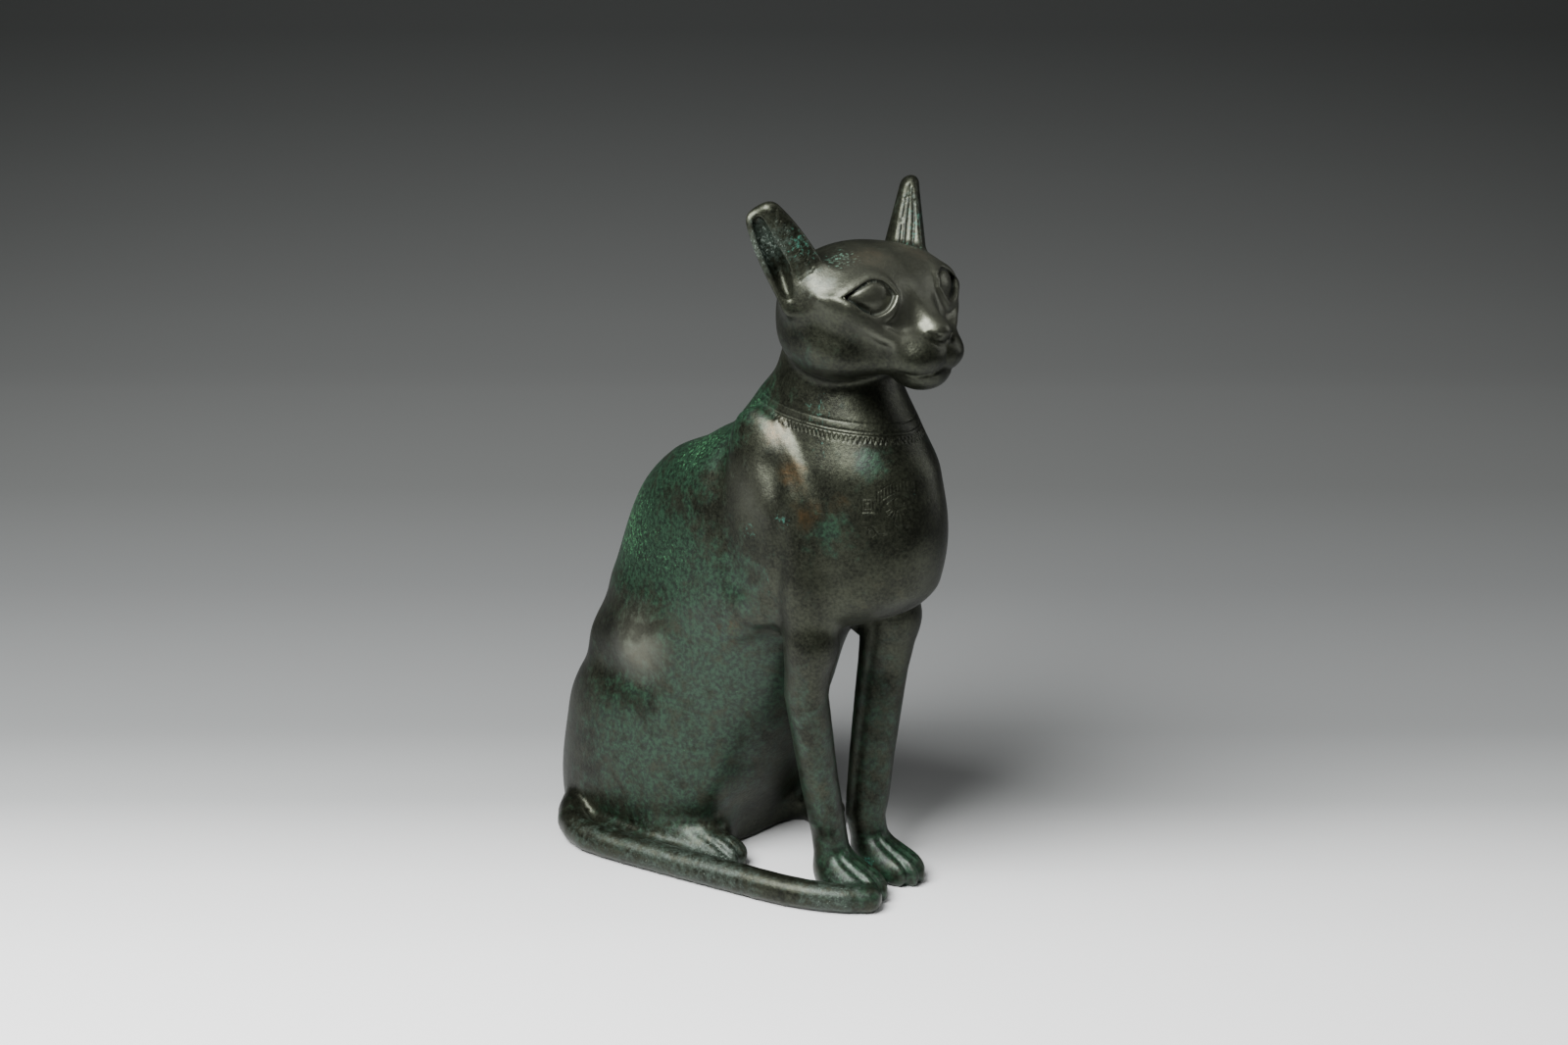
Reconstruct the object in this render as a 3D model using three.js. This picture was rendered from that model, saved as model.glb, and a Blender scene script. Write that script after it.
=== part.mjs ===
// A seated cat, cast in bronze as one piece, after the votive figures of ancient Egypt.
//
// The cat faces -Y, its left side is +X, and +Z is up. Its tail comes round its right side to the
// right front paw. The base is flat, and the origin is at its middle.
//
// The form is a field: a function that is below zero inside the bronze and above zero outside it.
// Simple bodies give the masses of the animal, and soft joins run them into one another, as a
// modeller blends wax. The mesh is the surface where the field is zero.

import * as THREE from 'three';
import { MeshoptSimplifier } from 'three/addons/libs/meshopt_simplifier.module.js';

// Driving sizes, in millimetres
const HEIGHT = 320;
const ELBOW_THICKNESS = 23;
const ANKLE_THICKNESS = 16.4;
const TAIL_THICKNESS = 14;
const EAR_WALL = 3;

// The pose and the proportions are shares of the height, in parts of which the height holds 320
const PART = HEIGHT / 320;

const at = (x, y, z) => new THREE.Vector3(x, y, z).multiplyScalar(PART);
const parts = (count) => count * PART;

// Soft joins of two fields over a width

function softJoin(a, b, width) {
  const h = Math.min(Math.max(0.5 + (0.5 * (b - a)) / width, 0), 1);
  return b + (a - b) * h - width * h * (1 - h);
}

function softMeet(a, b, width) {
  return -softJoin(-a, -b, width);
}

function softCut(body, hollow, width) {
  return softMeet(body, -hollow, width);
}

// Simple bodies

// Distance to an ellipsoid from the point's place over each of its radii
function roundDistance(x, y, z, radii) {
  const reach = Math.hypot(x / radii.x, y / radii.y, z / radii.z);
  const slope = Math.hypot(x / radii.x ** 2, y / radii.y ** 2, z / radii.z ** 2);
  return (reach * (reach - 1)) / Math.max(slope, 1e-6);
}

function egg(centre, radii) {
  return (p) => roundDistance(p.x - centre.x, p.y - centre.y, p.z - centre.z, radii);
}

// A round limb through some points, with a radius at each of them
function limb(points, radii) {
  const pieces = points.slice(1).map((end, i) => {
    const start = points[i];
    const along = end.clone().sub(start);
    return { start, along, lengthSq: along.lengthSq(), from: radii[i], growth: radii[i + 1] - radii[i] };
  });
  return (p) => {
    let nearest = Infinity;
    for (const { start, along, lengthSq, from, growth } of pieces) {
      const dx = p.x - start.x;
      const dy = p.y - start.y;
      const dz = p.z - start.z;
      const share = (dx * along.x + dy * along.y + dz * along.z) / lengthSq;
      const t = Math.min(Math.max(share, 0), 1);
      const gap = Math.hypot(dx - t * along.x, dy - t * along.y, dz - t * along.z);
      nearest = Math.min(nearest, gap - from - growth * t);
    }
    return nearest;
  };
}

// A smooth outline y(z) through some [z, y] points, without overshoot between them
function outline(points) {
  const heights = points.map(([z]) => parts(z));
  const values = points.map(([, y]) => parts(y));
  const steps = heights.slice(1).map((z, i) => z - heights[i]);
  const rises = steps.map((step, i) => (values[i + 1] - values[i]) / step);
  const slopes = heights.map((_, i) => {
    const before = rises[i - 1];
    const after = rises[i];
    if (before === undefined || after === undefined || before * after <= 0) {
      return 0;
    }
    const weightBefore = 2 * steps[i] + steps[i - 1];
    const weightAfter = steps[i] + 2 * steps[i - 1];
    return (weightBefore + weightAfter) / (weightBefore / before + weightAfter / after);
  });
  return (height) => {
    const z = THREE.MathUtils.clamp(height, heights[0], heights[heights.length - 1]);
    let i = 0;
    while (i < steps.length - 1 && z > heights[i + 1]) {
      i += 1;
    }
    const t = (z - heights[i]) / steps[i];
    const ease = t * t * (3 - 2 * t);
    const pull = t * (1 - t) * steps[i];
    const bend = slopes[i] * (1 - t) - slopes[i + 1] * t;
    return values[i] + (values[i + 1] - values[i]) * ease + pull * bend;
  };
}

// The torso and neck, as level sections between a front line and a back line

const frontLine = outline([
  [-12, 18], [0, 18], [40, 3], [80, -15], [112, -29], [124, -40],
  [131, -61], [140, -77], [150, -85], [172, -89], [200, -84], [218, -74], [243, -60], [290, -56],
]);
const backLine = outline([
  [-12, 118], [0, 123], [30, 130], [60, 123], [80, 112], [124, 102],
  [165, 86], [190, 62], [200, 40], [218, 15], [243, -6], [290, -16],
]);
const halfWidth = outline([
  [-12, 51], [12, 52], [60, 49], [124, 44.5], [178, 41], [200, 36], [218, 29.5], [243, 23.5], [290, 20],
]);
const NECK_TOP = parts(268);

function torso(p) {
  const front = frontLine(p.z);
  const back = backLine(p.z);
  const width = halfWidth(p.z);
  const depth = (back - front) / 2;
  // The sections are near ellipses, and squarer towards the base
  const power = 2.2 + 0.9 * THREE.MathUtils.clamp(1 - p.z / parts(50), 0, 1);
  const u = Math.abs(p.x) / width;
  const v = Math.abs(p.y - (front + back) / 2) / depth;
  const level = Math.max((u ** power + v ** power) ** (1 / power), 1e-6);
  const slope = Math.hypot(u ** (power - 1) / width, v ** (power - 1) / depth) / level ** (power - 1);
  return softMeet((level - 1) / Math.max(slope, 1e-6), p.z - NECK_TOP, parts(8));
}

// Masses that are the same on both sides are made once, for the left side

// A body whose points above the pivot lie further back, in proportion
function leaning(body, lean, pivot) {
  const upright = new THREE.Vector3();
  return (p) => body(upright.set(p.x, p.y - lean * (p.z - pivot), p.z));
}

const shoulder = leaning(egg(at(29.5, -25, 178), at(12.5, 27, 46)), 0.28, parts(178));
const upperArm = limb(
  [at(26.5, -36, 186), at(27.5, -41, 152), at(27, -43, 120)],
  [parts(12.5), parts(13.5), ELBOW_THICKNESS * 0.5],
);
const haunch = egg(at(31, 62, 48), at(20, 52, 50));
const hip = limb([at(34, 54, 101), at(28, 88, 95)], [parts(9.5), parts(7.5)]);
const hock = egg(at(29, 31, 10), at(13, 20, 12.5));

// A foreleg is oval in section, and widest towards the front and the outside
const LEG_ROUTE = [[12.8, -44, 12], [12.6, -41, 26], [18.3, -39.5, 55], [26, -39, 97], [27, -42.5, 122]];
const LEG_WIDE = new THREE.Vector3(0.7, -0.714, 0);
const LEG_OVAL = 1.2;
const legX = outline(LEG_ROUTE.map(([x, , z]) => [z, x]));
const legY = outline(LEG_ROUTE.map(([, y, z]) => [z, y]));
const roundLeg = limb(
  LEG_ROUTE.map(([x, y, z]) => at(x, y, z)),
  [
    ANKLE_THICKNESS * 0.52, ANKLE_THICKNESS * 0.5, ANKLE_THICKNESS * 0.54,
    ELBOW_THICKNESS * 0.43, ELBOW_THICKNESS * 0.5,
  ],
);

function foreleg(p) {
  const forward = LEG_WIDE.x * (p.x - legX(p.z)) + LEG_WIDE.y * (p.y - legY(p.z));
  const ease = THREE.MathUtils.clamp((p.z - parts(12)) / parts(20), 0, 1);
  return roundLeg(p.clone().addScaledVector(LEG_WIDE, -forward * ease * (1 - 1 / LEG_OVAL)));
}

// Three grooves part the four toes of a foot. They fan out and deepen from the wrist to the tip.
const TOE_PITCH = parts(5.2);
const TOE_GROOVE = parts(1.7);

function withToes(foot, { middle, slant, wrist, tip, depth }) {
  return (p) => {
    const share = THREE.MathUtils.clamp((wrist - p.y) / (wrist - tip), 0, 1.2);
    const pitch = TOE_PITCH * (0.68 + 0.36 * share);
    const across = (p.x - middle - slant * (p.y - tip)) / pitch;
    const gap = (across - THREE.MathUtils.clamp(Math.round(across), -1, 1)) * pitch;
    return foot(p) + depth * Math.sqrt(share) * Math.exp(-((gap / TOE_GROOVE) ** 2));
  };
}

const paw = egg(at(13.2, -57, 5), at(11.6, 19, 10.5));
const instep = egg(at(13, -48, 8), at(9.5, 13, 11));
const frontFoot = withToes(
  (p) => softJoin(paw(p), instep(p), parts(5)),
  { middle: parts(13.2), slant: 0, wrist: parts(-44), tip: parts(-76), depth: parts(2.2) },
);
const heel = limb([at(41, 38, 9), at(35.5, 9, 7)], [parts(10.5), parts(9)]);
const ballOfFoot = egg(at(34.2, 5, 6), at(9.8, 11, 8.6));
const hindFoot = withToes(
  (p) => softJoin(heel(p), ballOfFoot(p), parts(3)),
  { middle: parts(34), slant: 0.12, wrist: parts(28), tip: parts(-6), depth: parts(2) },
);

function limbs(mirrored, body) {
  let form = softJoin(body, shoulder(mirrored), parts(4));
  form = softJoin(form, upperArm(mirrored), parts(8));
  form = softJoin(form, foreleg(mirrored), parts(5));
  form = softJoin(form, frontFoot(mirrored), parts(4));
  form = softJoin(form, haunch(mirrored), parts(10));
  form = softJoin(form, hip(mirrored), parts(16));
  form = softJoin(form, hock(mirrored), parts(8));
  return softJoin(form, hindFoot(mirrored), parts(5));
}

// The tail leaves the rump low down and lies along the right side as far as the right front paw,
// and a low ledge ties it to the haunch and the hind foot

const TAIL_ROUTE = new THREE.CatmullRomCurve3([
  at(0, 110, 10), at(-25, 108, 9), at(-46, 97, 8), at(-61, 84, 7), at(-67, 67, 6.5), at(-64.5, 49, 6.4),
  at(-60, 30, 6.3), at(-54.5, 8, 6.2), at(-48, -17, 6.2), at(-41, -42, 6.1), at(-31, -62, 6),
  at(-21, -73, 5.6),
]);
const TAIL_STEPS = 24;
const tail = limb(
  TAIL_ROUTE.getSpacedPoints(TAIL_STEPS),
  Array.from({ length: TAIL_STEPS + 1 }, (_, i) => {
    const root = Math.max(1 - (2.4 * i) / TAIL_STEPS, 0);
    const tip = Math.max((5 * i) / TAIL_STEPS - 4, 0);
    return (TAIL_THICKNESS / 2) * (1 + 0.55 * root ** 1.5 - 0.1 * tip);
  }),
);
const ledge = limb(
  [at(-44, 88, 3), at(-55, 66, 2.5), at(-52, 38, 2.5), at(-46.5, 12, 2.5), at(-43.5, -2, 2.5)],
  [parts(7), parts(8), parts(8), parts(7), parts(6.5)],
);

// The head, with a broad flat face, a short snout and eyes in sockets

const cranium = egg(at(0, -46, 272), at(37, 35, 26));
const cheek = egg(at(19, -49, 259.5), at(19.5, 27, 18));
const mask = egg(at(17, -56, 277), at(21.5, 21, 14.5));
const snout = egg(at(0, -74, 257), at(17, 17, 12));
const cheekRidge = limb(
  [
    at(38.5, -54, 281), at(36.5, -62, 277.5), at(33, -67.8, 275), at(27, -73.5, 269.5),
    at(21, -78, 265), at(15.5, -82, 261.7), at(9, -85.3, 260.4),
  ],
  [0.2, 1.8, 2.7, 3, 3.2, 3.1, 2.2].map(parts),
);
const muzzle = egg(at(0, -80, 255.5), at(14, 12.5, 8));
const whiskerPad = egg(at(7.8, -83, 254.8), at(9.4, 11, 7.4));
const chin = egg(at(0, -80.5, 246), at(11, 11.5, 7.2));
const noseTip = egg(at(0, -88, 265.6), at(5.8, 6.4, 4));
const mouth = limb(
  [at(0, -94, 250), at(7, -92.5, 247.6), at(12, -88, 246.8), at(16, -84.5, 248), at(20, -79, 250)],
  [parts(1), parts(1), parts(0.9), parts(0.6), parts(0.3)],
);

// The bridge of the nose is a bar with a flat top, which narrows from the brow to the nose
const BRIDGE_TOP = at(0, -63, 288.5);
const BRIDGE_END = at(0, -86.5, 265.5);
const BRIDGE = BRIDGE_END.clone().sub(BRIDGE_TOP);
const BRIDGE_DEPTH = parts(5.2);

function noseBridge(p) {
  const offset = p.clone().sub(BRIDGE_TOP);
  const t = THREE.MathUtils.clamp(offset.dot(BRIDGE) / BRIDGE.lengthSq(), 0, 1);
  offset.addScaledVector(BRIDGE, -t);
  const width = parts(7.2 - 2 * t);
  const across = Math.abs(offset.x) / width;
  const deep = Math.hypot(offset.y, offset.z) / BRIDGE_DEPTH;
  return (Math.cbrt(across ** 3 + deep ** 3) - 1) * Math.min(width, BRIDGE_DEPTH);
}

const EYE_CENTRE = at(24.5, -75.5, 281);
const EYE_OUT = new THREE.Vector3(0.27, -0.93, 0.12).normalize();
const EYE_ALONG = new THREE.Vector3(1, 0.27, 0.04).projectOnPlane(EYE_OUT).normalize();
const EYE_UP = new THREE.Vector3().crossVectors(EYE_ALONG, EYE_OUT);
const EYE_BALL = at(12, 9.4, 9.8);
// The left eye lies a little nearer to the nose than the right one
const LEFT_EYE_SHIFT = at(-3, -0.8, 0);
const NO_SHIFT = at(0, 0, 0);

// An eye is a drop, pointed at its outer corner and round towards the nose. It is sunk in the
// face, with a low rim round it and a ball that swells out of it.
function withEye(mirrored, face, shift) {
  const offset = mirrored.clone().sub(EYE_CENTRE).sub(shift);
  const along = offset.dot(EYE_ALONG);
  const up = offset.dot(EYE_UP);
  const out = offset.dot(EYE_OUT);
  const outer = along > -parts(0.5);
  const toCorner = Math.min(Math.abs(along + parts(0.5)) / parts(outer ? 13 : 9.5), 1.4);
  const lid = parts(up > 0 ? 7.2 : 6.6) * (1 - toCorner ** (outer ? 1.4 : 2.8));
  const drop = (Math.abs(up) - lid) * 0.85;
  const behind = -out - parts(12);
  const socket = softMeet(softMeet(behind, drop, parts(1)), -(face + parts(2.6)), parts(1));
  // The lid is a low roll, broader above the eye than below it
  const brow = THREE.MathUtils.clamp(up / parts(3) + 0.5, 0, 1);
  const lidRoll = Math.hypot(drop - parts(1.6 + 0.6 * brow), face + parts(0.9 + 0.3 * brow));
  const rim = Math.max(lidRoll - parts(1.5 + 0.6 * brow), behind);
  const ball = roundDistance(along + parts(1.2), up, out + parts(9.2), EYE_BALL);
  const form = softCut(softJoin(face, rim, parts(3)), socket, parts(1.4));
  return softJoin(form, softMeet(ball, drop, parts(1.2)), parts(1));
}

function head(p, mirrored) {
  let face = softJoin(cranium(p), cheek(mirrored), parts(10));
  face = softJoin(face, mask(mirrored), parts(10));
  face = softJoin(face, snout(p), parts(11));
  face = softJoin(face, noseBridge(p), parts(4));
  face = softJoin(face, cheekRidge(mirrored), parts(4));
  face = softJoin(face, muzzle(p), parts(7));
  face = softJoin(face, whiskerPad(mirrored), parts(7));
  face = softJoin(face, chin(p), parts(5));
  face = softJoin(face, noseTip(p), parts(3));
  const shift = p.x > 0 ? LEFT_EYE_SHIFT : NO_SHIFT;
  return softCut(withEye(mirrored, face, shift), mouth(mirrored), parts(1.2));
}

// An ear is a leaf that leans out and back, with its hollow facing forward and outward. The right
// one has lost its tip.

const EAR_FOOT = at(34.5, -44, 283);
const EAR_TIP = at(50, -31, 319);
const EAR_AXIS = EAR_TIP.clone().sub(EAR_FOOT);
const EAR_LENGTH = EAR_AXIS.length();
EAR_AXIS.normalize();
const EAR_FACE = new THREE.Vector3(0.6, -0.8, 0).projectOnPlane(EAR_AXIS).normalize();
const EAR_SIDE = new THREE.Vector3().crossVectors(EAR_AXIS, EAR_FACE);
const WHOLE_EAR = 1;
const BROKEN_EAR = 0.92;

// An ear's leaf and its hollow are half ellipses in section
function halfRound(across, out, width, depth) {
  const reach = Math.hypot(across / width, out / depth);
  const slope = Math.hypot(across / width ** 2, out / depth ** 2);
  return (reach * (reach - 1)) / Math.max(slope, 1e-6);
}

function ear(mirrored, kept) {
  const offset = mirrored.clone().sub(EAR_FOOT);
  const share = offset.dot(EAR_AXIS) / EAR_LENGTH;
  const across = offset.dot(EAR_SIDE);
  const t = THREE.MathUtils.clamp(share, -0.2, 1.1);
  const out = offset.dot(EAR_FACE) - parts(5.5 - 5 * t);
  const width = parts(12.2 - 1.5 * t - 5.4 * t ** 3);
  const depth = parts(19.5 - 14.3 * t);
  // The hollow lies along the outer third, beside the swelling fur of the rest
  const fur = parts(2.2) * Math.exp(-(((across + 0.42 * width) / (0.5 * width)) ** 2));
  let leaf = softMeet(halfRound(across, out, width, depth), out - fur, parts(1.8));
  leaf = softMeet(leaf, (share - kept) * EAR_LENGTH, parts(4));
  leaf = softMeet(leaf, (-0.16 - share) * EAR_LENGTH, parts(4));
  const wide = THREE.MathUtils.clamp(0.55 + 1.6 * share, 0.3, 1);
  const deep = THREE.MathUtils.clamp(0.5 + 2 * share, 0.3, 1);
  const hollowWidth = Math.max((0.47 * width - EAR_WALL / 2) * wide, parts(1.5));
  const hollowDepth = Math.max(0.62 * depth - EAR_WALL, parts(2.2)) * deep;
  const middle = width - EAR_WALL - hollowWidth;
  let hollow = halfRound(across - middle, out, hollowWidth, hollowDepth);
  hollow = softMeet(hollow, (share - kept + 0.07) * EAR_LENGTH, parts(4));
  hollow = softMeet(hollow, (-0.08 - share) * EAR_LENGTH, parts(4));
  return softCut(leaf, hollow, parts(0.9));
}

// Strokes of the modelling tool: a soft groove, or a ridge where its depth is below zero
const stroke = (points, depth, width) => {
  const distance = limb(points, points.map(() => 0));
  return (p) => parts(depth) * Math.exp(-((distance(p) / parts(width)) ** 2));
};

const STROKES = [
  stroke(
    [at(40, -30, 203), at(42.5, -37, 184), at(43, -37, 160), at(41.5, -34, 140), at(39.5, -32, 118)],
    2, 4.5,
  ),
  stroke([at(26, 7, 212), at(34, 6, 195), at(40, 2, 178), at(42, -5, 161), at(42, -10, 145)], 2, 7),
  stroke([at(45, 40, 110), at(46, 56, 103)], -2.5, 9),
  stroke([at(49, 46, 84), at(45, 76, 84)], 1.6, 9),
  stroke([at(40, -6, 121), at(39, -22, 123)], -2.2, 6),
  stroke([at(40, -22, 194), at(40, -28, 186)], -1.5, 9),
  stroke([at(0, 26, 211), at(14, 20, 210), at(26, 10, 208)], 2.2, 7),
  stroke([at(8, 2, 229), at(22, -6, 228)], -1.5, 9),
  stroke([at(37, -57, 268), at(31, -68, 261), at(23, -76, 255.5)], 1.6, 6),
  stroke([at(30, -73, 275), at(24, -78, 270.5), at(17, -82.5, 266.5)], 0.9, 3),
];

// The whole cat

function cat(p) {
  const mirrored = new THREE.Vector3(Math.abs(p.x), p.y, p.z);
  let form = limbs(mirrored, torso(p));
  form = softJoin(form, ledge(p), parts(3));
  form = softJoin(form, tail(p), parts(2));
  form = softJoin(form, head(p, mirrored), parts(6));
  // The ears run into the head more softly at their feet than higher up
  const earJoin = THREE.MathUtils.clamp(parts(9) - (p.z - parts(284)) * 0.4, parts(3), parts(9));
  form = softJoin(form, ear(mirrored, p.x > 0 ? WHOLE_EAR : BROKEN_EAR), earJoin);
  return STROKES.reduce((total, push) => total + push(mirrored), form);
}

// The mesh comes from a lattice whose cells are small at the feet, the face and the ears. The
// lattice reaches as far as the figure does where its cells are smallest.

const LATTICE_TOP = parts(326);
const COLUMNS_EACH_WAY = 38;
const ROWS_IN_FRONT = 46;
const ROWS_BEHIND = 50;
const ROW_LINE = parts(-40);
const ROW_PITCH = 0.78;
const ROW_GROWTH = 0.012;

// The size of a cell at a height
const cellSize = outline([[0, 2.5], [16, 2.6], [60, 6.2], [190, 6.2], [240, 1.8], [272, 1.6], [326, 1.6]]);

function lattice() {
  const levels = [-cellSize(0) / 2, cellSize(0) / 2];
  while (levels[levels.length - 1] < LATTICE_TOP) {
    const z = levels[levels.length - 1];
    levels.push(z + cellSize(z));
  }
  const points = [];
  levels.forEach((z) => {
    const cell = cellSize(z);
    for (let j = -ROWS_IN_FRONT; j <= ROWS_BEHIND; j += 1) {
      // Rows lie closer together in front, where the legs and the face are
      const row = ROW_PITCH * j + ROW_GROWTH * Math.max(j, 0) ** 2;
      for (let i = -COLUMNS_EACH_WAY; i <= COLUMNS_EACH_WAY; i += 1) {
        points.push(new THREE.Vector3(i * cell, ROW_LINE + row * cell, z));
      }
    }
  });
  return { size: [2 * COLUMNS_EACH_WAY + 1, ROWS_IN_FRONT + ROWS_BEHIND + 1, levels.length], points };
}

// Works out the field block by block, and point by point only where the surface may be near
const BLOCK = 4;

// The first and last index of each of the even blocks that a side of the lattice is parted into
function blocks(count) {
  const number = Math.ceil(count / BLOCK);
  return Array.from({ length: number }, (_, block) => {
    const [first, next] = [block, block + 1].map((edge) => Math.round((edge * count) / number));
    return [first, next - 1];
  });
}

function sampleField({ size: [nx, ny, nz], points }) {
  const values = new Float64Array(points.length);
  const index = (i, j, k) => i + nx * (j + ny * k);
  const middle = new THREE.Vector3();
  for (const [k0, k1] of blocks(nz)) {
    for (const [j0, j1] of blocks(ny)) {
      for (const [i0, i1] of blocks(nx)) {
        const corners = [points[index(i0, j0, k0)], points[index(i1, j1, k1)]];
        middle.addVectors(...corners).multiplyScalar(0.5);
        const here = cat(middle);
        const far = Math.abs(here) > 1.3 * middle.distanceTo(corners[1]) + cellSize(middle.z);
        for (let k = k0; k <= k1; k += 1) {
          for (let j = j0; j <= j1; j += 1) {
            for (let i = i0; i <= i1; i += 1) {
              values[index(i, j, k)] = far ? here : cat(points[index(i, j, k)]);
            }
          }
        }
      }
    }
  }
  // There is no bronze below the base, which lies between the two lowest levels
  return values.fill(1, 0, nx * ny);
}

const CORNERS = [[0, 0, 0], [1, 0, 0], [0, 1, 0], [1, 1, 0], [0, 0, 1], [1, 0, 1], [0, 1, 1], [1, 1, 1]];
const EDGES = [
  [0, 1], [2, 3], [4, 5], [6, 7], [0, 2], [1, 3], [4, 6], [5, 7], [0, 4], [1, 5], [2, 6], [3, 7],
];

// Two inside corners that face each other across a square or a cell, with outside ones between
// them, would pinch the surface, so the nearest of those others is filled
const SQUARES = [[0, 1], [0, 2], [1, 2]];

function fillPinches(values, strides, count) {
  const nearest = (corners) => corners.reduce((a, b) => (values[a] < values[b] ? a : b));
  const cell = CORNERS.map(([a, b, c]) => a * strides[0] + b * strides[1] + c * strides[2]);
  let pinched = true;
  while (pinched) {
    pinched = false;
    for (let first = strides[2]; first < count; first += 1) {
      for (const [a, b] of SQUARES) {
        const ring = [first, first + strides[a], first + strides[a] + strides[b], first + strides[b]];
        const inside = ring.map((corner) => values[corner] < 0);
        if (inside[0] === inside[2] && inside[1] === inside[3] && inside[0] !== inside[1]) {
          values[nearest(ring.filter((corner, i) => !inside[i]))] = -1e-3;
          pinched = true;
        }
      }
      const corners = cell.map((offset) => first + offset);
      const solid = corners.filter((corner) => values[corner] < 0);
      const open = corners.filter((corner) => values[corner] >= 0);
      const rarer = solid.length === 2 ? solid : open;
      if (rarer.length === 2 && rarer[0] + rarer[1] === corners[0] + corners[7]) {
        values[nearest(open)] = -1e-3;
        pinched = true;
      }
    }
  }
}

// Moves a point to where the field is zero, along the field's slope, or level at the base, but no
// further than half a cell
function settle(point, level) {
  const step = parts(0.05);
  const reach = cellSize(point.z) / 2;
  const start = point.clone();
  const sample = point.clone();
  const slope = new THREE.Vector3();
  for (let turn = 0; turn < 3; turn += 1) {
    const here = cat(point);
    slope.set(0, 0, 0);
    for (const axis of level ? ['x', 'y'] : ['x', 'y', 'z']) {
      sample.copy(point);
      sample[axis] += step;
      slope[axis] = (cat(sample) - here) / step;
    }
    point.addScaledVector(slope, -here / Math.max(slope.lengthSq(), 0.25));
    point.sub(start).clampLength(0, reach).add(start);
  }
  if (!level) {
    point.z = Math.max(point.z, parts(0.6));
  }
}

// The closed surface where the field is zero, with one vertex in each cell that it crosses
function castSurface() {
  const grid = lattice();
  const { size: [nx, ny, nz], points } = grid;
  const strides = [1, nx, nx * ny];
  const cellCount = nx * ny * (nz - 1) - nx - 1;
  const values = sampleField(grid);
  fillPinches(values, strides, cellCount);

  const vertices = [];
  const vertexOf = new Map();
  const corners = CORNERS.map(([a, b, c]) => a * strides[0] + b * strides[1] + c * strides[2]);
  for (let cell = 0; cell < cellCount; cell += 1) {
    const solid = corners.filter((corner) => values[cell + corner] < 0).length;
    if (solid > 0 && solid < 8) {
      const vertex = new THREE.Vector3();
      let crossings = 0;
      for (const [a, b] of EDGES) {
        const from = values[cell + corners[a]];
        const to = values[cell + corners[b]];
        if (from < 0 !== to < 0) {
          const t = THREE.MathUtils.clamp(from / (from - to), 0.1, 0.9);
          vertex.add(points[cell + corners[a]].clone().lerp(points[cell + corners[b]], t));
          crossings += 1;
        }
      }
      vertex.divideScalar(crossings);
      const onBase = cell < nx * ny;
      if (onBase) {
        vertex.z = 0;
      }
      if (!onBase || solid < 4) {
        settle(vertex, onBase);
      }
      vertexOf.set(cell, vertices.length);
      vertices.push(vertex);
    }
  }

  const triangles = [];
  for (let here = 0; here < nx * ny * (nz - 1); here += 1) {
    const inside = values[here] < 0;
    for (let axis = 0; axis < 3; axis += 1) {
      if (inside === values[here + strides[axis]] < 0) {
        continue;
      }
      const a = strides[(axis + 1) % 3];
      const b = strides[(axis + 2) % 3];
      const ring = [here - a - b, here - b, here, here - a].map((cell) => vertexOf.get(cell));
      if (!inside) {
        ring.reverse();
      }
      const [p, q, r, s] = ring.map((v) => vertices[v]);
      if (p.distanceToSquared(r) < q.distanceToSquared(s)) {
        triangles.push(ring[0], ring[1], ring[2], ring[0], ring[2], ring[3]);
      } else {
        triangles.push(ring[1], ring[2], ring[3], ring[1], ring[3], ring[0]);
      }
    }
  }
  const surface = new THREE.BufferGeometry().setFromPoints(vertices);
  surface.setIndex(triangles);
  return surface;
}

// Flat stretches need few facets, so the surface is thinned where it is flat. A first pass keeps
// the facets even, which holds thin walls open for the second.
const PASSES = [{ triangles: 20000, flags: ['Regularize'] }, { triangles: 9880, flags: [] }];
const LARGEST_ERROR = 0.01;

async function castGeometry() {
  const surface = castSurface();
  const places = surface.getAttribute('position').array;
  let indices = Uint32Array.from(surface.getIndex().array);
  await MeshoptSimplifier.ready;
  for (const { triangles, flags } of PASSES) {
    [indices] = MeshoptSimplifier.simplify(indices, places, 3, 3 * triangles, LARGEST_ERROR, flags);
  }
  const [newPlace, used] = MeshoptSimplifier.compactMesh(indices);
  const kept = new Float32Array(3 * used);
  newPlace.forEach((place, old) => {
    if (place < used) {
      kept.set(places.subarray(3 * old, 3 * old + 3), 3 * place);
    }
  });
  const geometry = new THREE.BufferGeometry();
  geometry.setAttribute('position', new THREE.BufferAttribute(kept, 3));
  geometry.setIndex(new THREE.BufferAttribute(indices, 1));
  geometry.computeBoundingBox();
  const middle = geometry.boundingBox.getCenter(new THREE.Vector3());
  geometry.translate(-middle.x, -middle.y, 0);
  geometry.computeVertexNormals();
  return geometry;
}

const bronze = new THREE.MeshStandardMaterial({ color: '#3a4238', roughness: 0.5, metalness: 0.8 });
const figure = new THREE.Mesh(await castGeometry(), bronze);
figure.name = 'cat_figure';

const statuette = new THREE.Group();
statuette.add(figure);

export default statuette;
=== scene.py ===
# %% [markdown]
# # A seated cat in bronze
# Founders of ancient Egypt cast cats like this one hollow, in one pour, over a model in wax. The eyes,
# the toes and the jewellery were then sharpened with a graver, and twenty-odd centuries gave the metal
# its green and brown skin. The plain cast solid is loaded first, and nothing here moves it.

# %% Load the frame
import math

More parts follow.
